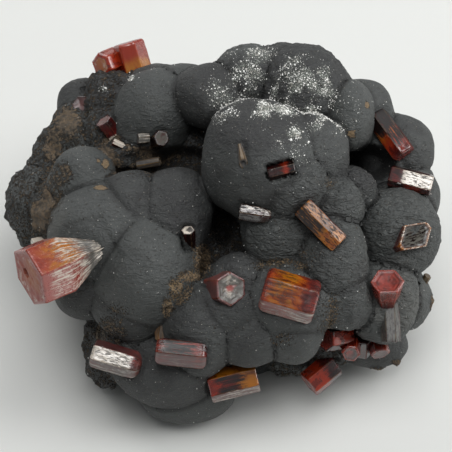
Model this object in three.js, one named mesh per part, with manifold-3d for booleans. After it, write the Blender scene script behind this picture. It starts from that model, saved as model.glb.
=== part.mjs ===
// Vanadinite on goethite: a hand-sized mineral specimen, in millimetres, +Z up.
//
// The matrix is one lump of botryoidal goethite, a crowd of round lobes grown into each other and
// broken off flat underneath. Hexagonal vanadinite crystals sit in it, each in a pocket that fits it.
// The origin is on the flat underside, at the middle of the specimen's bounding box.
//
// The specimen has a display side, which leans back from the upright. Lobes and crystals are placed
// on it by three lengths: across (to the right), up (up the leaning face) and out (towards the eye).
import * as THREE from "three";
import { ConvexGeometry } from "three/addons/geometries/ConvexGeometry.js";
import { mergeVertices } from "three/addons/utils/BufferGeometryUtils.js";
import Module from "manifold-3d";

const wasm = await Module();
wasm.setup();

// ---- driving dimensions -----------------------------------------------------------------------
const DISPLAY_LEAN = THREE.MathUtils.degToRad(50); // the eye's height above the horizon
const EYE_DISTANCE = 400; // places are given as seen from here
const MIDDLE = new THREE.Vector3(0.4234, -1.1042, 18); // where across, up and out are all zero
const POCKET_GAP = 0.3; // between a crystal and the pocket it sits in
const BIG_LOBE = 5.8; // lobes of the display side over this mean radius are rounder
const DIMPLE_DEPTH = 0.035; // of a lobe's radius
const WAIST_DEPTH = 0.025;
const BEVEL = 0.1; // of a crystal's girth, around its outer end
const GROUND = 200; // side of the block below the flat underside

// ---- the display side's own directions ---------------------------------------------------------
const ACROSS = new THREE.Vector3(1, 0, 0);
const UP = new THREE.Vector3(0, Math.sin(DISPLAY_LEAN), Math.cos(DISPLAY_LEAN));
const OUT = new THREE.Vector3(0, -Math.cos(DISPLAY_LEAN), Math.sin(DISPLAY_LEAN));

function along(across, up, out) {
  return new THREE.Vector3()
    .addScaledVector(ACROSS, across)
    .addScaledVector(UP, up)
    .addScaledVector(OUT, out);
}

// The point that is seen at (across, up) from the eye and stands out by out.
function seen(across, up, out) {
  const nearness = 1 - out / EYE_DISTANCE;
  return along(across * nearness, up * nearness, out).add(MIDDLE);
}

// ---- lobes of the matrix: [across, up, out, half width, half height, half depth] ----------------
const LOBES = {
  crown: [
    [4.6, 9.7, 12.5, 7.8, 8.3, 8.0],
    [9.1, 5.9, 14.0, 4.8, 4.4, 4.6],
    [13.1, 10.9, 11.5, 4.1, 4.6, 4.4],
    [-2.7, 18.6, 6.0, 3.9, 4.3, 4.2],
    [2.8, 21.1, 2.0, 4.6, 4.7, 4.8],
    [7.9, 22.3, 1.0, 3.6, 3.4, 3.5],
    [11.4, 19.6, 4.0, 5.8, 5.9, 6.0],
    [18.0, 15.7, 6.0, 3.0, 4.9, 3.8],
    [19.9, 16.5, 1.0, 3.7, 4.3, 3.6],
  ],
  right: [
    [25.4, 11.3, 0.0, 4.2, 4.4, 4.2],
    [22.6, 9.0, 0.0, 3.8, 4.6, 4.2],
    [26.7, 4.3, 0.0, 3.7, 4.2, 4.0],
    [24.7, -0.9, 6.0, 6.0, 6.1, 6.0],
    [18.6, 5.7, 10.0, 2.7, 2.5, 2.7],
    [16.3, 3.1, 12.5, 3.0, 3.0, 3.0],
    [15.4, -4.6, 13.5, 4.6, 5.4, 5.0],
    [17.0, -10.6, 12.0, 3.6, 4.6, 4.2],
    [22.5, -10.9, 7.0, 5.0, 6.0, 5.2],
    [26.8, -10.6, 1.0, 2.5, 3.8, 3.6],
  ],
  centre: [
    [7.3, -1.0, 12.0, 5.1, 4.4, 4.8],
    [1.4, -7.7, 13.0, 3.6, 3.4, 3.6],
    [9.1, -10.6, 14.0, 5.7, 5.0, 5.2],
    [-3.7, -14.9, 12.0, 4.7, 6.0, 5.2],
    [3.3, -15.6, 12.5, 4.0, 4.4, 4.2],
    [9.6, -14.6, 12.0, 4.1, 4.9, 4.6],
    [0.6, -12.0, 13.0, 5.0, 3.6, 4.2],
  ],
  left: [
    [-17.7, -1.3, 9.0, 7.4, 6.7, 7.0],
    [-11.3, -6.6, 12.5, 6.4, 6.9, 6.8],
    [-20.6, -7.7, 7.0, 4.6, 5.7, 5.2],
    [-13.7, -11.7, 10.5, 4.6, 3.9, 4.4],
    [-13.0, 2.6, 9.5, 4.3, 4.9, 4.8],
    [-7.1, 2.0, 9.5, 5.1, 6.3, 5.6],
    [-20.6, 6.9, 5.5, 4.3, 4.3, 4.4],
    [-27.2, 2.3, -1.0, 4.0, 5.7, 5.0],
    [-28.7, 4.7, -3.0, 2.0, 2.8, 2.8],
    [-24.4, 1.6, 3.0, 3.4, 4.6, 4.4],
  ],
  foot: [
    [-8.3, -20.3, 8.0, 7.1, 5.1, 5.6],
    [-5.6, -23.7, 2.5, 7.1, 4.7, 5.0],
    [-17.2, -18.9, 0.0, 2.7, 3.9, 4.0],
    [-15.6, -16.2, 0.0, 4.4, 4.6, 5.5],
    [-13.7, -17.3, 7.0, 3.8, 4.2, 4.0],
    [21.3, -17.2, -1.5, 4.6, 3.0, 4.0],
    [14.6, -15.6, 2.0, 4.2, 4.4, 5.0],
    [9.6, -18.6, -1.0, 4.6, 2.8, 4.5],
  ],
  shoulder: [
    [-10.4, 16.1, 2.0, 5.1, 6.0, 5.6],
    [-9.7, 20.1, -3.0, 3.8, 3.0, 3.8],
    [-16.3, 18.4, -4.0, 4.0, 4.2, 4.0],
    [-20.6, 17.5, -8.0, 3.4, 3.6, 3.6],
    [-21.6, 12.0, -4.0, 4.4, 4.8, 4.6],
    [-25.0, 8.7, -4.0, 2.8, 3.6, 3.4],
    [-5.9, 20.5, 1.0, 3.0, 2.4, 2.8],
    [-13.7, 10.1, 1.5, 4.3, 2.4, 4.0],
    [-16.5, 13.4, -2.0, 3.6, 3.6, 4.0],
  ],
};
const ROOT_DEPTH = 2; // how far back the roots of the display side's lobes go
const ROOT_SHARE = 1.5; // and how deep they are at least, as a share of the half depth
const CORE = [0, 0, -9, 25, 21, 14, 14];

// The back and the ends carry lobes too, spread evenly over the core by the golden angle.
const BACK_LOBES = 13;
const BACK_SPREAD = [20, 16, 12];
const BACK_RADII = [7.2, 6.0, 8.2, 6.6];
const GOLDEN_ANGLE = Math.PI * (3 - Math.sqrt(5));

function backLobes() {
  const lobes = [];
  for (let k = 0; k < BACK_LOBES; k++) {
    const depth = (k + 0.5) / BACK_LOBES;
    const reach = Math.sqrt(1 - depth * depth);
    const turn = k * GOLDEN_ANGLE;
    const radius = BACK_RADII[k % BACK_RADII.length];
    const out = CORE[2] - BACK_SPREAD[2] * depth;
    lobes.push([
      BACK_SPREAD[0] * reach * Math.cos(turn),
      BACK_SPREAD[1] * reach * Math.sin(turn),
      out,
      radius,
      radius,
      radius,
      radius,
    ]);
  }
  return lobes;
}

// ---- solids --------------------------------------------------------------------------------------
function solidOf(geometry) {
  const bare = new THREE.BufferGeometry().setAttribute("position", geometry.getAttribute("position"));
  if (geometry.index) bare.setIndex(geometry.index);
  const merged = mergeVertices(bare, 1e-4);
  return new wasm.Manifold(
    new wasm.Mesh({
      numProp: 3,
      vertProperties: merged.attributes.position.array,
      triVerts: new Uint32Array(merged.index.array),
    }),
  );
}

function geometryOf(solid) {
  const { numProp, numVert, vertProperties, triVerts } = solid.getMesh();
  const position = new Float32Array(numVert * 3);
  for (let i = 0; i < numVert; i++) {
    position.set(vertProperties.subarray(i * numProp, i * numProp + 3), i * 3);
  }
  return new THREE.BufferGeometry()
    .setAttribute("position", new THREE.BufferAttribute(position, 3))
    .setIndex(new THREE.BufferAttribute(triVerts, 1));
}

// How far a lobe swells in one direction: none is a true ball, and the seed makes each one different.
function swelling(x, y, z, seed) {
  const dimples = Math.sin(2.3 * x + seed) * Math.sin(2.9 * y + 1.7 * seed);
  const waist = Math.sin(4.1 * z + 2.1 * seed);
  return 1 + DIMPLE_DEPTH * dimples + WAIST_DEPTH * waist;
}

// Only the front half of a lobe is its half depth deep: the back half is a root into the core.
function rootOf(out, depth) {
  return Math.max(ROOT_SHARE * depth, out - ROOT_DEPTH);
}

function lobeSolid([across, up, out, width, height, depth, root = rootOf(out, depth)], seed) {
  const fineness = (width + height + depth) / 3 > BIG_LOBE && out > 0 ? 2 : 1;
  const geometry = new THREE.IcosahedronGeometry(1, fineness);
  const position = geometry.getAttribute("position");
  const centre = seen(across, up, out);
  for (let i = 0; i < position.count; i++) {
    const [x, y, z] = [position.getX(i), position.getY(i), position.getZ(i)];
    const reach = z > 0 ? depth : root;
    const p = along(x * width, y * height, z * reach)
      .multiplyScalar(swelling(x, y, z, seed))
      .add(centre);
    position.setXYZ(i, p.x, p.y, p.z);
  }
  return solidOf(geometry);
}

function matrixSolid() {
  const lobes = [CORE, ...Object.values(LOBES).flat(), ...backLobes()];
  const lump = lobes.map(lobeSolid).reduce((all, lobe) => all.add(lobe));
  const ground = new THREE.BoxGeometry(GROUND, GROUND, GROUND).translate(0, 0, -GROUND / 2);
  return lump.subtract(solidOf(ground));
}

// ---- crystals ------------------------------------------------------------------------------------
const FINISHES = {
  red: { colour: 0x6e1d14, roughness: 0.25 },
  amber: { colour: 0xa3521a, roughness: 0.2 },
  coated: { colour: 0x6a5a5c, roughness: 0.5 },
  tan: { colour: 0x94714d, roughness: 0.8 },
};
const FINISH_OF = {
  amber_centre: "amber",
  lower_right: "amber",
  right_upper: "amber",
  slanted: "amber",
  top_left_twins: "amber",
  facing: "coated",
  ghost_end: "coated",
  hollow_stub: "coated",
  right_stub: "coated",
  shoulder_facing: "coated",
  shoulder_pale: "coated",
  silver_bullet: "coated",
  brown_block: "tan",
  ledge_tan: "tan",
  right_tiny: "tan",
  tan_stick: "tan",
};

// at: middle of the crystal, as seen. heading: the way its outer end points on the display side, in
// degrees from across towards up. lift: how far that end stands out towards the eye. roll: turns a
// face from the eye towards the left of the heading. girth: across opposite corners. taper: what
// the inner end loses of the girth, over the length named shoulder. tip: the same at the outer end.
const CRYSTALS = {
  large_left: [
    { at: [-22.5, -5.6, 16.9], heading: 206, lift: 24, roll: 40, girth: 9, length: 12.2, taper: 0.75, shoulder: 5 },
  ],
  tiny_left: [{ at: [-26.4, -2.3, 4.9], heading: 195, lift: 20, roll: 10, girth: 1.8, length: 2.6 }],
  top_left_twins: [
    { at: [-13.3, 23.7, -4.8], heading: 106, lift: 6, roll: 6, girth: 5.0, length: 5.4 },
    { at: [-16.4, 23.7, -5.2], heading: 190, lift: 20, roll: 10, girth: 3.6, length: 4.6 },
  ],
  ghost_end: [{ at: [-20.0, 16.9, -4.4], heading: 150, lift: 62, roll: 5, girth: 3.0, length: 3.6 }],
  shoulder_red: [{ at: [-16.5, 13.7, 2.4], heading: 127, lift: 25, roll: 20, girth: 2.7, length: 3.6 }],
  shoulder_slender: [{ at: [-14.6, 11.3, 5.0], heading: 155, lift: 8, roll: 0, girth: 1.1, length: 3.4 }],
  shoulder_facing: [{ at: [-9.7, 12.3, 5.8], heading: 20, lift: 68, roll: 0, girth: 2.6, length: 3.0 }],
  shoulder_pale: [{ at: [-12.1, 12.3, 6.2], heading: 185, lift: 15, roll: 20, girth: 1.7, length: 1.6 }],
  ledge_tan: [{ at: [-11.1, 9.0, 4.6], heading: 10, lift: 10, roll: 20, girth: 1.5, length: 3.4 }],
  hollow_stub: [{ at: [-5.3, -1.8, 13.7], heading: 97, lift: 38, roll: 10, girth: 2.1, length: 3.2 }],
  tan_stick: [
    { at: [2.3, 9.9, 20.2], heading: 282, lift: 0, roll: 0, girth: 1.3, length: 3.6, taper: 0.35 },
  ],
  sunken_red: [{ at: [7.8, 8.0, 18.4], heading: 14, lift: -6, roll: 20, girth: 2.2, length: 3.8 }],
  silver_bullet: [
    { at: [4.2, 1.8, 16.5], heading: -10, lift: 4, roll: 20, girth: 2.7, length: 4.4, tip: 0.7 },
  ],
  slanted: [{ at: [13.5, 0.1, 17.6], heading: -45, lift: 0, roll: 30, girth: 3.5, length: 7.2 }],
  right_upper: [{ at: [23.4, 13.0, 4.4], heading: -55, lift: 14, roll: 20, girth: 3.7, length: 7.3 }],
  right_lying: [{ at: [26.4, 6.4, 4.7], heading: -14, lift: 5, roll: 22, girth: 3.1, length: 6.2 }],
  right_stub: [{ at: [26.5, -1.3, 9.7], heading: 20, lift: 62, roll: 8, girth: 5.0, length: 4.0 }],
  right_pair: [
    { at: [23.0, -9.7, 12.4], heading: 92, lift: 50, roll: 0, girth: 4.9, length: 5.6, taper: 0.45 },
    { at: [23.5, -13.7, 10.9], heading: 272, lift: 4, roll: 12, girth: 2.9, length: 5.6 },
  ],
  right_tiny: [{ at: [28.3, -7.9, 1.8], heading: 60, lift: 30, roll: 0, girth: 1.2, length: 2.2 }],
  base_cluster: [
    { at: [15.7, -15.9, 7.9], heading: 187, lift: 45, roll: 5, girth: 3.9, length: 4.4 },
    { at: [17.9, -17.1, 6.6], heading: 262, lift: 60, roll: 0, girth: 2.9, length: 4.4 },
    { at: [19.6, -17.1, 5.0], heading: 90, lift: 50, roll: 10, girth: 2.6, length: 3.4 },
    { at: [21.6, -16.7, 4.5], heading: 285, lift: 30, roll: 14, girth: 3.0, length: 3.8 },
  ],
  base_hanging: [{ at: [13.6, -21.1, 4.0], heading: 219, lift: 10, roll: 12, girth: 4.2, length: 4.8 }],
  amber_centre: [{ at: [9.1, -10.0, 18.6], heading: -16, lift: 0, roll: 0, girth: 6.5, length: 7.6 }],
  facing: [{ at: [-0.3, -9.0, 15.6], heading: 2, lift: 68, roll: 0, girth: 5.0, length: 5.0 }],
  lower_middle: [{ at: [-6.4, -18.2, 15.8], heading: -6, lift: 0, roll: 28, girth: 4.2, length: 7.1 }],
  lower_left: [{ at: [-15.6, -19.1, 12.0], heading: -16, lift: 4, roll: 7, girth: 4.3, length: 7.1 }],
  lower_right: [{ at: [1.0, -22.2, 9.4], heading: 14, lift: 0, roll: -3, girth: 4.8, length: 6.9 }],
  brown_block: [{ at: [-9.1, -15.0, 11.6], heading: 80, lift: 12, roll: 0, girth: 2.2, length: 2.8 }],
};

function prismSolid({ at, heading, lift, roll }, rings) {
  const h = THREE.MathUtils.degToRad(heading);
  const l = THREE.MathUtils.degToRad(lift);
  const axis = along(Math.cos(l) * Math.cos(h), Math.cos(l) * Math.sin(h), Math.sin(l));
  const left = along(-Math.sin(h), Math.cos(h), 0);
  const face = new THREE.Vector3().crossVectors(axis, left);
  const points = [];
  for (const [offset, radius] of rings)
    for (let k = 0; k < 6; k++) {
      const turn = THREE.MathUtils.degToRad(roll + 30 + 60 * k);
      points.push(
        seen(...at)
          .addScaledVector(axis, offset)
          .addScaledVector(face, radius * Math.cos(turn))
          .addScaledVector(left, radius * Math.sin(turn)),
      );
    }
  return solidOf(new ConvexGeometry(points));
}

// A six-sided prism with a bevelled outer end, given by how far along its axis each ring of corners
// lies and how far out from it.
function crystalRings({ girth, length, taper = 0, shoulder = 0, tip = 0 }) {
  const bevel = BEVEL * girth;
  return [
    [-length / 2, (girth / 2) * (1 - taper)],
    ...(shoulder ? [[shoulder - length / 2, girth / 2]] : []),
    [length / 2 - bevel, girth / 2],
    [length / 2, (girth / 2 - bevel) * (1 - tip)],
  ];
}

// The pocket has no bevels, and is larger all round.
function pocketRings({ girth, length, taper = 0, shoulder = 0 }) {
  const wider = POCKET_GAP / Math.cos(Math.PI / 6);
  return [
    [-length / 2 - POCKET_GAP, (girth / 2) * (1 - taper) + wider],
    ...(shoulder ? [[shoulder - length / 2, girth / 2 + wider]] : []),
    [length / 2 + POCKET_GAP, girth / 2 + wider],
  ];
}

function joined(prisms, ringsOf) {
  return prisms.map((prism) => prismSolid(prism, ringsOf(prism))).reduce((all, prism) => all.add(prism));
}

// ---- assembly ------------------------------------------------------------------------------------
const specimen = new THREE.Group();

function addPiece(name, solid, colour, roughness) {
  const material = new THREE.MeshStandardMaterial({ color: colour, roughness, metalness: 0 });
  const mesh = new THREE.Mesh(geometryOf(solid), material);
  mesh.name = name;
  specimen.add(mesh);
}

let matrix = matrixSolid();
for (const [name, prisms] of Object.entries(CRYSTALS)) {
  matrix = matrix.subtract(joined(prisms, pocketRings));
  const { colour, roughness } = FINISHES[FINISH_OF[name] ?? "red"];
  addPiece(name, joined(prisms, crystalRings), colour, roughness);
}
// Slivers left hanging beside the pockets are dropped: the matrix is its largest piece.
const [lump] = matrix.decompose().sort((a, b) => b.volume() - a.volume());
addPiece("goethite_matrix", lump, 0x3a3c3d, 0.8);

export default specimen;
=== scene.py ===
"""Looks of a vanadinite specimen: hexagonal crystals on a lump of black botryoidal goethite.

The lump is rebuilt at full detail from the same lobes as the solid model, and each crystal from the
same prism. Lengths in this file are millimetres until a mesh is made, and the display side is
described by three lengths: across (to the right), up (up the leaning face) and out (to the eye).
"""

import logging
import math
from dataclasses import dataclass, field
from enum import Enum

import bmesh
import bpy
import numpy as np
from mathutils import Matrix, Vector

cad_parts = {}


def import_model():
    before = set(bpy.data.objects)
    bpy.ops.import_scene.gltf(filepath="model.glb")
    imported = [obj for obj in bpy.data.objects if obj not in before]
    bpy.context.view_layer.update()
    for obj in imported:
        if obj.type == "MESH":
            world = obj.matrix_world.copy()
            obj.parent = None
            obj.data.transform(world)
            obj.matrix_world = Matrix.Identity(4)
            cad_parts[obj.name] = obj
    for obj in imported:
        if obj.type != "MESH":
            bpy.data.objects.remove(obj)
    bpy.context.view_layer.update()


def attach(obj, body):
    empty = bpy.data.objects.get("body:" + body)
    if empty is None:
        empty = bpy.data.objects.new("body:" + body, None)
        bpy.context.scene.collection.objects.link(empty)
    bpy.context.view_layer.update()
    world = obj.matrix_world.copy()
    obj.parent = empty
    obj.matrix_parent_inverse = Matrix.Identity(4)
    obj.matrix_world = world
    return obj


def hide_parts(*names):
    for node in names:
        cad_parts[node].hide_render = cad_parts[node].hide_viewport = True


log = logging.getLogger("vanadinite")

MM = 0.001
BODY = "root"
Array = np.ndarray
Socket = bpy.types.NodeSocket


# ---- the display side ----
@dataclass(frozen=True)
class DisplaySide:
    """The leaning side that the specimen shows, and the eye that looks at it square on."""

    lean_deg: float = 50.0
    eye_mm: float = 400.0
    middle: tuple[float, float, float] = (0.4234, -1.1042, 18.0)

    def axes(self) -> Array:
        """Find how the side lies.

        Returns:
            The directions across, up and out as the rows of a matrix.
        """
        lean = math.radians(self.lean_deg)
        rise, run = math.sin(lean), math.cos(lean)
        return np.array([[1.0, 0.0, 0.0], [0.0, rise, run], [0.0, -run, rise]])

    def along(self, parts: Array) -> Array:
        """Turn lengths across, up and out into a vector in the object's frame."""
        return np.asarray(parts, float) @ self.axes()

    def seen(self, across: float, up: float, out: float) -> Array:
        """Return the point that the eye sees at (across, up) and that stands out by out."""
        nearness = 1.0 - out / self.eye_mm
        return self.along([across * nearness, up * nearness, out]) + np.array(self.middle)

    def flat(self, points: Array) -> Array:
        """See points as the eye does.

        Args:
            points: places in the object's frame.

        Returns:
            Across and up as seen, and how far out.
        """
        parts = (points - np.array(self.middle)) @ self.axes().T
        nearness = 1.0 - parts[:, 2:] / self.eye_mm
        return np.hstack([parts[:, :2] / nearness, parts[:, 2:]])


DISPLAY = DisplaySide()


# ---- noise ----
class Noise:
    """Smooth noise in space that is the same on each run."""

    LATTICE = 256
    SWING = 1.7
    LAYER_SHIFT = 17.3
    RIDGE_SHIFT = 9.1
    RIDGE_FULL = 1.6

    def __init__(self, seed: int) -> None:
        """Shuffle the lattice and pick its slopes.

        Args:
            seed: makes this noise different from the next.
        """
        rng = np.random.default_rng(seed)
        self.order = np.tile(rng.permutation(self.LATTICE), 2)
        slopes = rng.normal(size=(self.LATTICE, 3))
        self.slopes = slopes / np.linalg.norm(slopes, axis=1, keepdims=True)

    def at(self, points: Array, size: float) -> Array:
        """Make smooth noise.

        Args:
            points: places, one a row.
            size: the distance over which it changes.

        Returns:
            One value a point, of about -1 to 1.
        """
        scaled = points / size
        cell = np.floor(scaled).astype(int)
        inside = scaled - cell
        ease = inside**3 * (inside * (inside * 6 - 15) + 10)
        cell %= self.LATTICE
        total = np.zeros(len(points))
        for corner in np.ndindex(2, 2, 2):
            x, y, z = ((cell[:, i] + corner[i]) % self.LATTICE for i in range(3))
            slope = self.slopes[self.order[self.order[self.order[x] + y] + z]]
            weight = np.prod(np.where(corner, ease, 1 - ease), axis=1)
            total += weight * np.einsum("ij,ij->i", slope, inside - np.array(corner))
        return total * self.SWING

    def fractal(self, points: Array, size: float, octaves: int) -> Array:
        """Make noise with finer and finer layers added, each half as strong.

        Args:
            points: places, one a row.
            size: the distance over which the first layer changes.
            octaves: how many layers.

        Returns:
            One value a point.
        """
        layers = [
            self.at(points + self.LAYER_SHIFT * k, size / 2**k) / 2**k for k in range(octaves)
        ]
        return np.sum(layers, axis=0)

    def ridged(self, points: Array, size: float, octaves: int) -> Array:
        """Make noise with sharp valleys, as in wrinkled skin.

        Args:
            points: places, one a row.
            size: the distance over which the first layer changes.
            octaves: how many layers.

        Returns:
            One value a point, of 0 to 1.
        """
        layers = [
            (1 - np.abs(self.at(points + self.RIDGE_SHIFT * k, size / 2**k))) / 2**k
            for k in range(octaves)
        ]
        return 1 - np.clip(np.sum(layers, axis=0) / self.RIDGE_FULL, 0, 1)


def smoothstep(low: float, high: float, value: Array) -> Array:
    """Ease from 0 at low to 1 at high."""
    part = np.clip((value - low) / (high - low), 0, 1)
    return part * part * (3 - 2 * part)


# ---- mesh helpers ----
def new_object(name: str, data: bpy.types.ID) -> bpy.types.Object:
    """Put something in the scene as an object at the origin.

    Args:
        name: the object's name.
        data: its mesh, lamp or camera.

    Returns:
        The object.
    """
    made = bpy.data.objects.new(name, data)
    bpy.context.scene.collection.objects.link(made)
    return made


def mesh_object(name: str, verts_mm: Array, faces: list) -> bpy.types.Object:
    """Make an object at the origin.

    Args:
        name: the piece's name.
        verts_mm: vertices in millimetres, one a row.
        faces: lists of vertex numbers.

    Returns:
        The new object, linked to the scene.
    """
    mesh = bpy.data.meshes.new(name)
    mesh.from_pydata(verts_mm * MM, [], faces)
    mesh.update()
    return new_object(name, mesh)


def read(values: bpy.types.bpy_prop_collection, key: str, width: int) -> Array:
    """Read numbers from each member of a mesh's list.

    Args:
        values: the mesh's list.
        key: what to read.
        width: how many numbers a member has.

    Returns:
        The numbers, a row for each member where there are several.
    """
    flat = np.zeros(len(values) * width)
    values.foreach_get(key, flat)
    return flat.reshape(-1, width) if width > 1 else flat


def vertices_mm(mesh: bpy.types.Mesh) -> Array:
    """Return a mesh's vertices in millimetres."""
    return read(mesh.vertices, "co", 3) / MM


def set_vertices_mm(mesh: bpy.types.Mesh, verts: Array) -> None:
    """Move a mesh's vertices to places in millimetres."""
    mesh.vertices.foreach_set("co", (verts * MM).ravel())
    mesh.update()


def vertex_normals(mesh: bpy.types.Mesh) -> Array:
    """Return a mesh's vertex normals."""
    return read(mesh.vertex_normals, "vector", 3)


def store(mesh: bpy.types.Mesh, name: str, values: Array) -> None:
    """Keep one number, or one vector, a vertex for the materials to read.

    Args:
        mesh: the mesh to keep it on.
        name: the attribute's name.
        values: a row for each vertex.
    """
    kind, key = ("FLOAT_VECTOR", "vector") if values.ndim == 2 else ("FLOAT", "value")
    layer = mesh.attributes.new(name, kind, "POINT")
    layer.data.foreach_set(key, values.astype(np.float32).ravel())


def evaluated_copy(piece: bpy.types.Object) -> bpy.types.Mesh:
    """Apply a piece's modifiers and remove them.

    Args:
        piece: the piece, which keeps its old mesh.

    Returns:
        The resulting mesh.
    """
    graph = bpy.context.evaluated_depsgraph_get()
    mesh = bpy.data.meshes.new_from_object(piece.evaluated_get(graph))
    piece.modifiers.clear()
    return mesh


def shade(mesh: bpy.types.Mesh, sharp_deg: float) -> None:
    """Shade smooth, with edges over an angle kept sharp.

    Args:
        mesh: the mesh to shade.
        sharp_deg: that angle.
    """
    work = bmesh.new()
    work.from_mesh(mesh)
    for edge in work.edges:
        edge.smooth = edge.calc_face_angle(0.0) < math.radians(sharp_deg)
    for face in work.faces:
        face.smooth = True
    work.to_mesh(mesh)
    work.free()


# ---- material helpers ----
def linear(hex_colour: str) -> tuple[float, float, float, float]:
    """Turn an sRGB colour into the linear one that Blender mixes.

    Args:
        hex_colour: the colour, as a hash and six digits.

    Returns:
        Red, green, blue and 1, each from 0 to 1.
    """
    parts = [int(hex_colour[i : i + 2], 16) / 255 for i in (1, 3, 5)]
    bent = [c / 12.92 if c <= 0.04045 else ((c + 0.055) / 1.055) ** 2.4 for c in parts]
    return (*bent, 1.0)


def add(
    tree: bpy.types.NodeTree, kind: str, *values: object, named: dict | None = None,
    out: int | str = 0, **settings: object,
) -> Socket | None:
    """Add a node to a tree.

    Args:
        tree: the node tree.
        kind: the node's type.
        *values: numbers, hex colours or output sockets for its first inputs.
        named: the same for other inputs, by name or number.
        out: the output to hand back.
        **settings: the node's own properties.

    Returns:
        That output, or None where the node has none.
    """
    node = tree.nodes.new(kind)
    for name, value in settings.items():
        setattr(node, name, value)
    for key, value in [*enumerate(values), *(named or {}).items()]:
        if isinstance(value, Socket):
            tree.links.new(value, node.inputs[key])
        else:
            node.inputs[key].default_value = linear(value) if str(value)[0] == "#" else value
    return node.outputs[out] if node.outputs else None


EASED = {"interpolation_type": "SMOOTHSTEP"}
TIMES = {"operation": "MULTIPLY"}
COLOURS = {"data_type": "RGBA", "out": 2}


class Paint:
    """A material being made: its tree, and the steps that its layers of nodes share."""

    def __init__(self, name: str) -> None:
        """Start an empty material.

        Args:
            name: the material's name.
        """
        self.material = bpy.data.materials.new(name)
        self.material.use_nodes = True
        self.tree = self.material.node_tree
        self.tree.nodes.clear()

    def add(self, kind: str, *values: object, **rest: object) -> Socket:
        """Add a shader node to this material."""
        return add(self.tree, "ShaderNode" + kind, *values, **rest)

    def millimetres(self) -> Socket:
        """Read the place in the object, in millimetres."""
        place = self.add("TexCoord", out="Object")
        return self.add("VectorMath", place, named={"Scale": 1 / MM}, operation="SCALE")

    def cover(self, under: Socket | str, over: Socket | str, pattern: Socket, low: float,
              high: float, strength: float = 1.0) -> Socket:
        """Lay one colour over another: none of it where the pattern is low, strength where high."""
        share = self.add("MapRange", pattern, low, high, 0, strength, **EASED)
        return self.add("Mix", named={0: share, 6: under, 7: over}, **COLOURS)

    def stir(self, value: Socket | float, *pattern: Socket | float) -> Socket:
        """Add a pattern to a value, with its low and high values eased into two others."""
        return self.add("Math", self.add("MapRange", *pattern, **EASED), value, operation="ADD")

    def most(self, *values: Socket | tuple[Socket, float]) -> Socket:
        """Find the greatest of some values.

        Args:
            *values: sockets, each in a pair with the share of it that counts, if not all.

        Returns:
            The greatest value.
        """
        most = None
        for value in values:
            if isinstance(value, tuple):
                value = self.add("Math", *value, **TIMES)
            most = value if most is None else self.add("Math", most, value, operation="MAXIMUM")
        return most

    def dented(self, *layers: tuple[Socket, float]) -> Socket:
        """Dent the surface.

        Args:
            *layers: heights of 0 to 1, each with its depth in millimetres.

        Returns:
            The dented surface's normal.
        """
        normal = None
        for height, depth_mm in layers:
            named = {"Strength": 1, "Distance": depth_mm * MM, "Height": height}
            named |= {"Normal": normal} if normal else {}
            normal = self.add("Bump", named=named)
        return normal

    def finish(self, inputs: dict, inside: Socket | None = None) -> bpy.types.Material:
        """Close the material with one Principled shader.

        Args:
            inputs: values or sockets by the shader's own names.
            inside: what fills the piece, if it lets light in.

        Returns:
            The material.
        """
        sides = {"Surface": self.add("BsdfPrincipled", named=inputs)}
        if inside is not None:
            sides["Volume"] = inside
        self.add("OutputMaterial", named=sides)
        return self.material


@dataclass(frozen=True)
class Pattern:
    """A pattern of noise of 0 to 1: its grain in millimetres, and how much each side is shrunk."""

    size: float
    detail: float = 3.0
    roughness: float = 0.6
    shrunk: tuple[float, float, float] = (1.0, 1.0, 1.0)
    twist: float = 0.0

    def on(self, paint: Paint, place: Socket) -> Socket:
        """Add the pattern to a material.

        Args:
            paint: the material.
            place: a place in millimetres.

        Returns:
            The pattern, of 0 to 1.
        """
        return paint.add("TexNoise", named={
            "Vector": paint.add("VectorMath", place, self.shrunk, **TIMES), "Scale": 1 / self.size,
            "Detail": self.detail, "Roughness": self.roughness, "Distortion": self.twist})


# ---- the goethite lump ----
class Skin(Enum):
    """What a lobe's surface is like."""

    SMOOTH = "smooth"
    WRINKLED = "wrinkled"
    LINED = "lined"
    DRUSY = "drusy"
    EARTHY = "earthy"


SMOOTH, WRINKLED, LINED, DRUSY, EARTHY = Skin


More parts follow.
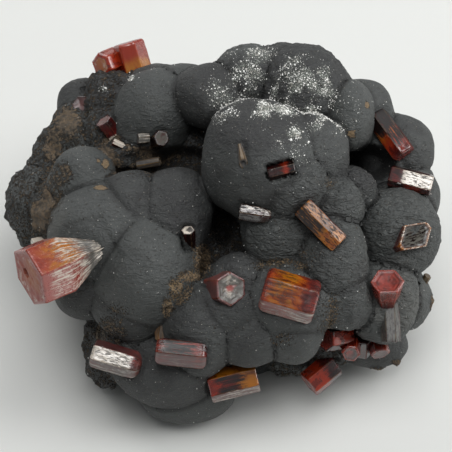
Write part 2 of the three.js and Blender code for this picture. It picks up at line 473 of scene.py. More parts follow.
@dataclass(frozen=True)
class Lobe:
    """One round lobe: where the eye sees it, its half sizes, and its skin."""

    across: float
    up: float
    out: float
    width: float
    height: float
    depth: float
    skin: Skin = SMOOTH
    root: float | None = None

    ROOT_DEPTH = 2.0
    ROOT_SHARE = 1.5
    DIMPLES = (2.3, 2.9, 0.035)
    WAIST = (4.1, 0.025)

    def back_reach(self) -> float:
        """Find how deep the lobe's root goes.

        Returns:
            Its length behind the lobe's middle.
        """
        if self.root is not None:
            return self.root
        return max(self.ROOT_SHARE * self.depth, self.out - self.ROOT_DEPTH)

    def swelling(self, ball: Array, seed: int) -> Array:
        """Find how uneven the lobe is.

        Args:
            ball: directions, as points of a unit ball.
            seed: makes this lobe different from the next.

        Returns:
            How far it swells in each direction, 1 where it does not.
        """
        x, y, z = ball.T
        across, up, depth = self.DIMPLES
        dimples = depth * np.sin(across * x + seed) * np.sin(up * y + 1.7 * seed)
        along, depth = self.WAIST
        return 1 + dimples + depth * np.sin(along * z + 2.1 * seed)

    def half_sizes(self, ball: Array) -> Array:
        """Find the lobe's size in some directions: its front and its root differ.

        Args:
            ball: the directions.

        Returns:
            The three half sizes for each.
        """
        front = (self.width, self.height, self.depth)
        root = (self.width, self.height, self.back_reach())
        return np.where(ball[:, 2:] > 0, front, root)

    def surface(self, ball: Array, seed: int) -> Array:
        """Return the lobe's surface for the directions of a unit ball."""
        local = ball * self.half_sizes(ball) * self.swelling(ball, seed)[:, None]
        return DISPLAY.along(local) + DISPLAY.seen(self.across, self.up, self.out)

    def distance(self, points: Array, seed: int) -> Array:
        """Find how far points lie outside the lobe, roughly.

        Args:
            points: places in the object's frame.
            seed: the lobe's own seed.

        Returns:
            The distances, below 0 inside.
        """
        local = (points - DISPLAY.seen(self.across, self.up, self.out)) @ DISPLAY.axes().T
        scaled = local / self.half_sizes(local)
        reach = np.linalg.norm(scaled, axis=1) + 1e-9
        swell = self.swelling(scaled / reach[:, None], seed)
        size = np.linalg.norm(local, axis=1) / reach
        return (reach - swell) * size


def lobes(*rows: tuple) -> tuple[Lobe, ...]:
    """Return the lobes that rows of their values describe."""
    return tuple(Lobe(*row) for row in rows)


CORE = Lobe(0, 0, -9, 25, 21, 14, EARTHY, root=14)
CROWN = lobes(
    (4.6, 9.7, 12.5, 7.8, 8.3, 8), (9.1, 5.9, 14, 4.8, 4.4, 4.6, WRINKLED),
    (13.1, 10.9, 11.5, 4.1, 4.6, 4.4), (-2.7, 18.6, 6, 3.9, 4.3, 4.2),
    (2.8, 21.1, 2, 4.6, 4.7, 4.8, DRUSY), (7.9, 22.3, 1, 3.6, 3.4, 3.5, DRUSY),
    (11.4, 19.6, 4, 5.8, 5.9, 6, DRUSY), (18, 15.7, 6, 3, 4.9, 3.8), (19.9, 16.5, 1, 3.7, 4.3, 3.6),
)
RIGHT = lobes(
    (25.4, 11.3, 0, 4.2, 4.4, 4.2), (22.6, 9, 0, 3.8, 4.6, 4.2), (26.7, 4.3, 0, 3.7, 4.2, 4),
    (24.7, -0.9, 6, 6, 6.1, 6, WRINKLED), (18.6, 5.7, 10, 2.7, 2.5, 2.7, WRINKLED),
    (16.3, 3.1, 12.5, 3, 3, 3, WRINKLED), (15.4, -4.6, 13.5, 4.6, 5.4, 5, WRINKLED),
    (17, -10.6, 12, 3.6, 4.6, 4.2, WRINKLED), (22.5, -10.9, 7, 5, 6, 5.2, WRINKLED),
    (26.8, -10.6, 1, 2.5, 3.8, 3.6),
)
CENTRE = lobes(
    (7.3, -1, 12, 5.1, 4.4, 4.8, WRINKLED), (1.4, -7.7, 13, 3.6, 3.4, 3.6),
    (9.1, -10.6, 14, 5.7, 5, 5.2), (-3.7, -14.9, 12, 4.7, 6, 5.2, LINED),
    (3.3, -15.6, 12.5, 4, 4.4, 4.2), (9.6, -14.6, 12, 4.1, 4.9, 4.6), (0.6, -12, 13, 5, 3.6, 4.2),
)
LEFT = lobes(
    (-17.7, -1.3, 9, 7.4, 6.7, 7), (-11.3, -6.6, 12.5, 6.4, 6.9, 6.8, LINED),
    (-20.6, -7.7, 7, 4.6, 5.7, 5.2), (-13.7, -11.7, 10.5, 4.6, 3.9, 4.4, LINED),
    (-13, 2.6, 9.5, 4.3, 4.9, 4.8), (-7.1, 2, 9.5, 5.1, 6.3, 5.6), (-20.6, 6.9, 5.5, 4.3, 4.3, 4.4),
    (-27.2, 2.3, -1, 4, 5.7, 5, EARTHY), (-28.7, 4.7, -3, 2, 2.8, 2.8, EARTHY),
    (-24.4, 1.6, 3, 3.4, 4.6, 4.4, EARTHY),
)
FOOT = lobes(
    (-8.3, -20.3, 8, 7.1, 5.1, 5.6), (-5.6, -23.7, 2.5, 7.1, 4.7, 5),
    (-17.2, -18.9, 0, 2.7, 3.9, 4, EARTHY), (-15.6, -16.2, 0, 4.4, 4.6, 5.5, EARTHY),
    (-13.7, -17.3, 7, 3.8, 4.2, 4), (21.3, -17.2, -1.5, 4.6, 3, 4),
    (14.6, -15.6, 2, 4.2, 4.4, 5, EARTHY), (9.6, -18.6, -1, 4.6, 2.8, 4.5, EARTHY),
)
SHOULDER = lobes(
    (-10.4, 16.1, 2, 5.1, 6, 5.6), (-9.7, 20.1, -3, 3.8, 3, 3.8),
    (-16.3, 18.4, -4, 4, 4.2, 4, EARTHY), (-20.6, 17.5, -8, 3.4, 3.6, 3.6),
    (-21.6, 12, -4, 4.4, 4.8, 4.6, EARTHY), (-25, 8.7, -4, 2.8, 3.6, 3.4, EARTHY),
    (-5.9, 20.5, 1, 3, 2.4, 2.8), (-13.7, 10.1, 1.5, 4.3, 2.4, 4, EARTHY),
    (-16.5, 13.4, -2, 3.6, 3.6, 4, EARTHY),
)


@dataclass(frozen=True)
class BackLobes:
    """The lobes of the back and the ends, spread over the core by the golden angle.

    spread is how far they lie from the core's middle: across, up and out.
    """

    count: int = 13
    spread: tuple[float, float, float] = (20, 16, 12)
    radii: tuple[float, ...] = (7.2, 6.0, 8.2, 6.6)

    def lobes(self) -> tuple[Lobe, ...]:
        """Place the lobes from the waist of the core to the middle of its back.

        Returns:
            The lobes.
        """
        golden = math.pi * (3 - math.sqrt(5))
        made = []
        for k in range(self.count):
            depth = (k + 0.5) / self.count
            reach = math.sqrt(1 - depth * depth)
            radius = self.radii[k % len(self.radii)]
            across = self.spread[0] * reach * math.cos(k * golden)
            up = self.spread[1] * reach * math.sin(k * golden)
            out = CORE.out - self.spread[2] * depth
            made.append(Lobe(across, up, out, radius, radius, radius, root=radius))
        return tuple(made)


# ---- what lies on the lump ----
@dataclass(frozen=True)
class Patch:
    """An oval part of the display side that carries something, as the eye sees it."""

    across: float
    up: float
    width: float
    height: float
    strength: float = 1.0

    FULL = 0.55
    GONE = 1.25

    def share(self, flat: Array) -> Array:
        """Return how much of it lies at each place."""
        reach = (flat[:, :2] - (self.across, self.up)) / (self.width, self.height)
        return self.strength * (1 - smoothstep(self.FULL, self.GONE, np.hypot(*reach.T)))


DISPLAY_EDGE = (-8, -4)


def patches(*rows: tuple[float, ...]) -> tuple[Patch, ...]:
    """Return the patches that rows of their values describe."""
    return tuple(Patch(*row) for row in rows)


def spread(over: tuple[Patch, ...], flat: Array) -> Array:
    """Return the strongest share of several patches, on the display side only."""
    facing = smoothstep(*DISPLAY_EDGE, flat[:, 2])
    return np.max([patch.share(flat) for patch in over], axis=0) * facing


# partly the lobes' own tone, partly painted light and shade: lighter lobes at the right and the
# left, darker tops of the crown's domes and a darker hollow at the right
LIGHTER = patches(
    (24.7, -0.4, 6.5, 7, 0.8), (15.6, 11.2, 4, 4, 0.45), (24.6, -10.8, 5, 5, 0.8),
    (-26.6, 3, 4.5, 6, 0.7), (-20.5, 13.7, 4, 3.5, 0.35),
)
DARKER = patches(
    (4.4, 14.4, 7, 3.6, 0.95), (3, 20.7, 6, 4, 0.95), (20.4, 8.8, 4, 3, 0.8),
    (-6.5, -12.6, 3.5, 4, 0.2),
)
TAN_DUST = patches(
    (-3.4, -5.2, 2.2, 3, 0.9), (-6.6, -9, 2.2, 2.6, 0.9), (7.8, -5.6, 5.2, 1, 0.8),
    (12, -4.2, 1.6, 1.4, 0.8), (14.6, 6.2, 1.6, 1, 0.7), (14.6, -12.6, 2.2, 3.4, 0.75),
    (-12.6, 8.8, 3.6, 2.2, 0.7), (-15.2, -11.8, 1.8, 1, 0.8), (8, -16.6, 2, 1.4, 0.6),
)
TAN_CRUST = patches(
    (-3.3, -4.8, 1.5, 2.6, 0.9), (-5.2, -7.2, 2, 1, 0.85), (-7.2, -9, 1.2, 1.8, 0.85),
    (-8.4, -11.6, 0.9, 1.8, 0.85), (29.6, -8.2, 0.35, 1.6, 0.8), (29.5, -11.4, 0.35, 2, 0.8),
    (28.3, -14.6, 0.4, 1.2, 0.8), (26.6, -17.4, 0.5, 0.8, 0.8), (24.6, -19.4, 1.2, 0.35, 0.8),
    (21.8, -20.4, 1.6, 0.35, 0.8),
)
TAN_GRAINS = patches(
    (17.9, 13.1, 0.55, 0.55, 2), (20.2, 17.3, 0.35, 0.5, 2), (-17.9, 5.5, 0.95, 0.36, 2),
    (-17.2, 8.9, 0.5, 0.7, 2), (-18.3, 9.4, 0.3, 0.3, 2),
)
BROWN_EARTH = patches(
    (-23.6, 7.4, 1.8, 2.4, 0.6), (-24.9, 4.6, 1.8, 2.8, 0.55), (-26.4, 1.6, 1.8, 2.8, 0.6),
    (-22.6, 14.8, 2, 2.6, 0.55), (-25, 11.4, 1.4, 2.6, 0.55), (-16.4, -15.2, 2.6, 2.4, 0.6),
)
BROWN_CREVICE = patches(
    (-15.6, 9.4, 4.4, 2.6, 1.3), (-9.8, 10.2, 4, 1.6, 1), (-16.6, 12.4, 2.2, 2.2, 0.9),
)
# the hollows sink the skin, and the lump also darkens them with painted shade
HOLLOWS = patches(
    (-6.2, 9.2, 4.6, 2, 3.4), (-11, 9.8, 3, 1.3, 1.5), (20.4, 9, 3.4, 2.4, 4.6),
    (-0.4, 0.6, 1.4, 3.4, 2.5),
)
WHITE_DRUSE = patches(
    (6.4, 16.6, 3.6, 1.6, 1), (9, 14, 2.9, 1.5, 1), (9.4, 18.6, 3.4, 2.6, 0.8),
    (12.6, 19.6, 3.4, 4.2, 0.9), (9.6, 22.6, 3.8, 2.2, 0.6), (3.2, 21.4, 3, 2.4, 0.65),
    (5.4, 24.2, 5, 1.4, 0.6), (-0.6, 17.4, 2.2, 3.2, 0.5), (14.8, 14.6, 2.6, 2.6, 0.5),
    (12.8, 12, 3, 2.6, 0.4), (17.6, 16.2, 1.8, 3, 0.2), (11.6, 15.6, 4, 3, 0.6),
    (10.6, 11.6, 4, 3, 0.3), (1, 19, 4, 4, 0.3), (-13.6, 21.2, 0.6, 0.5, 1),
    (-17.7, 19.6, 0.6, 0.5, 1),
)


# ---- crystals ----
class Tone(Enum):
    """What tints a part of a crystal."""

    FIRE = "fire"
    GOLD = "gold"
    ROSE = "rose"
    BLOOM = "bloom"
    # a chalky crust on some faces, and a painted highlight on others where a face would mirror a
    # lamp
    CHALK = "chalk"
    ASH = "ash"
    # a dark film on some faces, and painted shade in holes, in hollow ends and where a crystal lies
    # sunk in the goethite
    SHADE = "shade"
    SPECK = "speck"
    DULL = "dull"


class End(Enum):
    """How a crystal's outer end is finished."""

    FLAT = "flat"
    HOPPER = "hopper"
    HOLLOW = "hollow"
    BROKEN = "broken"
    DOME = "dome"


class Finish(Enum):
    """What a crystal's surface is like, by the name of its material and slot."""

    RED = "vanadinite_red"
    AMBER = "vanadinite_amber"
    COATED = "vanadinite_coated"
    TAN = "vanadinite_tan"


FIRE, GOLD, ROSE, BLOOM, CHALK, ASH, SHADE, SPECK, DULL = Tone
RED, AMBER, COATED, TAN = Finish
SIDES, CAP = "012345", "6"
TURNS = 60 * np.arange(6)
ACROSS_FLATS = math.cos(math.pi / 6)


@dataclass(frozen=True)
class Zone:
    """A tinted part of a crystal: some of its facets, over a part of its length.

    The facets are given by their digits: 0 is the one nearest the eye, 1 the next to the left of
    the heading, 5 the one to its right, and CAP the outer end. The length runs from 0 at the root
    to 1 at the outer end, and on the end from 0 at its middle to 1 at its rim.
    """

    tone: Tone
    facets: str
    strength: float = 1.0
    start: float = 0.0
    stop: float = 1.0

    EDGE = 0.2
    CRISP_EDGE = 0.14

    def share(self, facet: Array, height: Array, reach: Array) -> Array:
        """Find how much of the tone lies at each place.

        Args:
            facet: which facet it is on.
            height: how far along the length it is.
            reach: on the end, how near the rim it is.

        Returns:
            The tone's strength at each place.
        """
        soft = self.CRISP_EDGE if self.tone in (CHALK, SPECK) else self.EDGE
        place = np.where(facet == int(CAP), reach, height)
        inside = np.ones(len(place))
        if self.start > 0:
            inside *= smoothstep(self.start - soft, self.start + soft, place)
        if self.stop < 1:
            inside *= 1 - smoothstep(self.stop - soft, self.stop + soft, place)
        return self.strength * inside * np.isin(facet, [int(digit) for digit in self.facets])


@dataclass(frozen=True)
class Prism:
    """One six-sided prism.

    at is its middle as seen, heading the way its outer end points on the display side, lift how far
    that end stands out, roll its turn about its axis, girth its width across corners, and taper
    what its root loses of the girth, over the length named shoulder. bevel is how far its ends are
    worn round, as a share of the girth, crown how far the outer end is domed, ragged how deeply the
    root is corroded, and moat how deeply the goethite draws back from it. bare is how wide the
    goethite leaves it open to the eye where it is sunk in. cut is the slope of an outer end that
    broke slanting, lower towards the face. pit is a hole in the outer end: towards the face, to the
    left, and its radius. uneven makes its facets unlike. zones holds the values of its Zones.
    """

    at: tuple[float, float, float]
    heading: float
    lift: float
    roll: float
    girth: float
    length: float
    taper: float = 0.0
    shoulder: float = 0.0
    end: End = End.FLAT
    bevel: float = 0.05
    crown: float = 0.0
    ragged: float = 0.0
    moat: float = 0.25
    bare: float = 0.0
    cut: float = 0.0
    pit: tuple[float, float, float] | None = None
    uneven: tuple[float, ...] = ()
    zones: tuple[tuple, ...] = ()

    # lengths in millimetres: the mesh's step, and the size and depth of what wears the sides
    STEP = 0.3
    GROOVE_SIZE, GROOVE = (0.55, 0.55, 5.0), 0.03
    CHIP_SIZE, CHIP = 1.1, 0.16
    RAGGED_SIZE, RAGGED_STRETCH = 0.8, (1, 1, 2.4)
    EDGE_WIDTH = 0.05
    PIT_DEPTH = 1.3
    CLEARED, CLEARING_STEP = 4, 0.2
    ABOVE_TABLE = 0.05
    # on the outer end: the size of its grain, and for a broken one how it is drawn out
    END_GRAIN, BROKEN_GRAIN = 0.9, (0.3, 1.0)
    # shares of the girth, and for the hollow of the length
    UNEVEN, WORN_CORNER, CLEARED_BELOW = 0.07, 0.28, 0.12
    ROUGH_END, BROKEN_END, HOPPER_STEP, HOLLOW, DOME = 0.012, 0.1, 0.03, 0.5, 0.38
    HOPPER_RINGS = (0.82, 0.6, 0.36)
    CAP_GRAIN = 0.15
    FIRST_SEED, SEED_SHIFT, CHIP_SHIFT = 100, 11.7, 40

    def axes(self) -> tuple[Array, Array, Array]:
        """Find how the prism lies.

        Returns:
            The directions along its axis, to the face nearest the eye, and to the left.
        """
        turn, rise = math.radians(self.heading), math.radians(self.lift)
        run = math.cos(rise)
        axis = DISPLAY.along([run * math.cos(turn), run * math.sin(turn), math.sin(rise)])
        left = DISPLAY.along([-math.sin(turn), math.cos(turn), 0.0])
        return axis, np.cross(axis, left), left

    def facets(self) -> tuple[Array, float]:
        """Return which way each facet looks, to the face and to the left, and how far out it is."""
        turns = np.radians(self.roll + TURNS)
        return np.column_stack([np.cos(turns), np.sin(turns)]), self.girth / 2 * ACROSS_FLATS

    def distance(self, points: Array) -> Array:
        """Find how far points lie outside the prism.

        Args:
            points: places in the object's frame.

        Returns:
            The distances, below 0 inside.
        """
        axis, face, left = self.axes()
        local = (points - DISPLAY.seen(*self.at)) @ np.column_stack([face, left, axis])
        normals, apothem = self.facets()
        sides = np.max(local[:, :2] @ normals.T, axis=1) - apothem
        return np.maximum(sides, np.abs(local[:, 2]) - self.length / 2)

    def clearing(self, points: Array) -> Array:
        """Draw the goethite back to leave a sunken prism open to the eye.

        Args:
            points: places on the goethite.

        Returns:
            How each of them moves.
        """
        out = DISPLAY.axes()[2]
        away = np.linalg.norm(points - DISPLAY.seen(*self.at), axis=1)
        near = away < self.length + self.CLEARED
        sunk = np.zeros(near.sum())
        for step in np.arange(self.CLEARED, -self.CLEARING_STEP / 2, -self.CLEARING_STEP):
            share = 1 - smoothstep(0.0, self.bare, self.distance(points[near] - out * step))
            sunk += share * (step + self.CLEARED_BELOW * self.girth - sunk)
        moved = np.zeros_like(points)
        moved[near] = -np.outer(sunk, out)
        return moved

    def steps_across(self) -> int:
        """Return how many steps the mesh takes along a facet's width, or from rim to axis."""
        return max(3, round(self.girth / 2 / self.STEP))

    def outline(self, rng: np.random.Generator) -> tuple[Array, Array, Array]:
        """Draw the cross-section.

        Args:
            rng: source of the facets' unevenness.

        Returns:
            The points to the face and to the left, the facet of each, and 1 where it is an edge.
        """
        normals, apothem = self.facets()
        apothem = apothem * (1 - self.UNEVEN * rng.uniform(0, 1, 6)) * np.array(self.uneven or 1.0)
        corners = [np.linalg.solve(normals[[k - 1, k]], apothem[[k - 1, k]]) for k in range(6)]
        points, facets, edges = [], [], []
        for k, (first, second) in enumerate(zip(corners, [*corners[1:], corners[0]])):
            edge = self.EDGE_WIDTH + 0.008 * self.girth
            near = min(0.3, edge / np.linalg.norm(second - first))
            inner = np.linspace(2 * near, 1 - 2 * near, self.steps_across() + 1)
            for share in (0.0, near, *inner, 1 - near):
                points.append(first + (second - first) * share)
                facets.append(k)
                edges.append(1.0 if share <= near or share >= 1 - near else 0.0)
        ring = np.array(points)
        sharp = np.arange(6) * (self.steps_across() + 4)
        beside = np.roll(ring, 1, 0)[sharp] + np.roll(ring, -1, 0)[sharp]
        ring[sharp] = (1 - 2 * self.WORN_CORNER) * ring[sharp] + self.WORN_CORNER * beside
        return ring, np.array(facets), np.array(edges)

    def profile(self) -> tuple[list[tuple[float, float]], int]:
        """Draw the prism's rings from its root to the middle of its outer end.

        Returns:
            Each ring's place along the axis and share of the girth, and how many are on the sides.
        """
        half = self.length / 2
        bevel = self.bevel * self.girth
        top = half - self.crown
        sloped = self.shoulder or top - bevel + half
        rings = []
        for turn in np.radians([90, 60, 30]):
            inset = bevel * (1 - math.cos(turn)) / (self.girth / 2)
            rings.append((bevel * (1 - math.sin(turn)) - half, (1 - self.taper) * (1 - inset)))
        steps = max(5, round(self.length / self.STEP))
        for along in np.linspace(-half + bevel, top - bevel, steps):
            rings.append((along, 1 - self.taper * max(0.0, 1 - (along + half) / sloped)))
        width, rise = bevel, bevel
        if self.end is End.DOME:
            width, rise = self.DOME * self.girth, bevel + self.crown
        for turn in np.radians([15, 30, 45, 60, 75, 90]):
            inset = width * (1 - math.cos(turn)) / (self.girth / 2)
            rings.append((top - bevel + rise * math.sin(turn), 1 - inset))
        sides = len(rings)
        rim, edge = rings[-1]
        for share in np.linspace(1, 0, self.steps_across() + 1)[1:-1]:
            rings.append((rim, edge * share))
        return rings, sides

    def end_relief(self, reach: Array, flat: Array, noise: Noise, seed: float) -> Array:
        """Return how far the outer end rises or sinks.

        Args:
            reach: the distance from the axis, 1 at the edge.
            flat: places on the end, in millimetres.
            noise: the noise to roughen it with.
            seed: shift that makes each end different.

        Returns:
            The rise of each place along the axis.
        """
        grained = flat * self.BROKEN_GRAIN if self.end is End.BROKEN else flat
        spots = np.column_stack([grained, np.full(len(flat), seed * 3.7)])
        rough = noise.fractal(spots, self.END_GRAIN, 3)
        rise = self.ROUGH_END * self.girth * (rough - 0.6) * smoothstep(1.0, 0.85, reach)
        if self.end is not End.DOME:
            rise += self.crown * (1 - reach**2)
        if self.end is End.HOPPER:
            wander = reach + 0.06 * rough
            for level in self.HOPPER_RINGS:
                step = smoothstep(level + 0.03, level - 0.03, wander)
                rise -= self.HOPPER_STEP * self.girth * step
        elif self.end is End.HOLLOW:
            rise -= self.HOLLOW * self.length * smoothstep(0.66, 0.5, reach + 0.08 * rough)
        elif self.end is End.BROKEN:
            torn = noise.ridged(spots, self.END_GRAIN, 3) - 0.8
            rise += self.BROKEN_END * self.girth * torn * smoothstep(1.02, 0.8, reach)
        return rise - self.PIT_DEPTH * self.in_pit(flat)

    def in_pit(self, flat: Array) -> Array:
        """Find what lies in the hole in the outer end.

        Args:
            flat: places on the end, in millimetres.

        Returns:
            1 inside the hole and 0 outside it.
        """
        if self.pit is None:
            return np.zeros(len(flat))
        *middle, radius = self.pit
        return smoothstep(radius * 1.15, radius * 0.75, np.hypot(*(flat - middle).T))

    def build(self, noise: Noise, seed: int) -> tuple[Array, list, dict[str, Array]]:
        """Make the prism's skin.

        Args:
            noise: the noise that roughens it.
            seed: makes this prism different from the next.

        Returns:
            Vertices, faces, and what each vertex carries for the materials.
        """
        ring, facets, edges = self.outline(np.random.default_rng(self.FIRST_SEED + seed))
        rings, sides = self.profile()
        around = len(ring)
        local, frame, facet, edge, reach = [], [], [], [], []
        for number, (place, scale) in enumerate(rings):
            is_end = number >= sides
            inward = scale / rings[sides - 1][1] if is_end else 1.0
            local.append(np.column_stack([ring * scale, np.full(around, place)]))
            frame.append(np.column_stack([ring * inward, np.full(around, place)]))
            facet.append(np.full(around, int(CAP)) if is_end else facets)
            edge.append(np.zeros(around) if is_end else edges)
            reach.append(np.full(around, inward))
        poles = np.array([[0.0, 0.0, rings[-1][0]], [0.0, 0.0, rings[0][0]]])
        local, frame = np.vstack([*local, poles]), np.vstack([*frame, poles])
        frame += seed * self.SEED_SHIFT
        facet = np.concatenate([*facet, [int(CAP)] * 2])
        edge, reach = np.concatenate([*edge, [0.0, 0.0]]), np.concatenate([*reach, [0.0, 1.0]])
        height = local[:, 2] / self.length + 0.5
        is_side, is_cap = facet < int(CAP), (facet == int(CAP)) & (height > 0.5)

        # sides: lengthwise grooves, chipped edges and a corroded root
        out = local[:, :2] / (np.linalg.norm(local[:, :2], axis=1, keepdims=True) + 1e-6)
        dent = self.GROOVE * noise.at(frame / np.array(self.GROOVE_SIZE), 1.0) * (1 - edge)
        chips = smoothstep(0.25, 0.7, noise.at(frame + self.CHIP_SHIFT, self.CHIP_SIZE)) * edge
        dent -= self.CHIP * chips * min(1.0, self.girth / 3)
        worn = smoothstep(0.45, 0.05, height) * self.ragged
        drawn = frame / np.array(self.RAGGED_STRETCH)
        dent -= worn * (0.5 + 0.5 * noise.fractal(drawn, self.RAGGED_SIZE, 3))
        local[:, :2] += out * (dent * is_side)[:, None]
        rise = self.end_relief(reach, local[:, :2], noise, seed) * is_cap
        slope = self.cut * (local[:, 0] + self.girth / 2) * smoothstep(0.3, 1.0, height)
        local[:, 2] += rise - slope

        axis, face, left = self.axes()
        verts = DISPLAY.seen(*self.at) + local @ np.array([face, left, axis])
        verts[:, 2] = np.maximum(verts[:, 2], self.ABOVE_TABLE)
        carried = {tone.value: np.zeros(len(local)) for tone in Tone}
        for zone in (Zone(*values) for values in self.zones):
            tint = carried[zone.tone.value]
            np.maximum(tint, zone.share(facet, height, reach), out=tint)
        # painted shade: the hole in the outer end is darkened
        pit = 1.4 * is_cap * self.in_pit(local[:, :2])
        carried["shade"] = np.maximum(carried["shade"], pit)
        across = frame[:, ::-1] if self.end is End.BROKEN else self.CAP_GRAIN * frame
        carried["grain"] = np.where(is_cap[:, None], across, frame)
        carried["edge"] = edge
        return verts, self.faces(around, len(rings)), carried

    @staticmethod
    def faces(around: int, rings: int) -> list[tuple[int, ...]]:
        """Join rings of vertices, and close both ends.

        Args:
            around: how many vertices a ring has.
            rings: how many rings there are.

        Returns:
            Lists of vertex numbers.
        """
        faces = []
        end = around * rings
        for k in range(around):
            after = (k + 1) % around
            for low in range(0, end - around, around):
                high = low + around
                faces.append((low + k, high + k, high + after, low + after))
            faces.append((end - around + after, end - around + k, end))
            faces.append((k, after, end + 1))
        return faces


@dataclass(frozen=True)
class Crystal:
    """One crystal of the specimen, or a few grown together."""

    name: str
    finish: Finish
    prisms: tuple[Prism, ...]

    SHARP_DEG = 22.0
    SEED_STEP = 31

    def build(self, noise: Noise, seed: int) -> bpy.types.Object:
        """Make the crystal's piece.

        Args:
            noise: the noise that roughens it.
            seed: makes this crystal different from the next.

        Returns:
            The finished piece without a material.
        """
        verts, faces, carried, count = [], [], [], 0
        for number, prism in enumerate(self.prisms):
            more, sides, extra = prism.build(noise, seed + number * self.SEED_STEP)
            verts.append(more)
            faces += [tuple(k + count for k in side) for side in sides]
            carried.append(extra)
            count += len(more)
        piece = mesh_object(f"{self.name}_crystal", np.vstack(verts), faces)
        for key in carried[0]:
            store(piece.data, key, np.concatenate([extra[key] for extra in carried]))
        shade(piece.data, self.SHARP_DEG)
        return piece
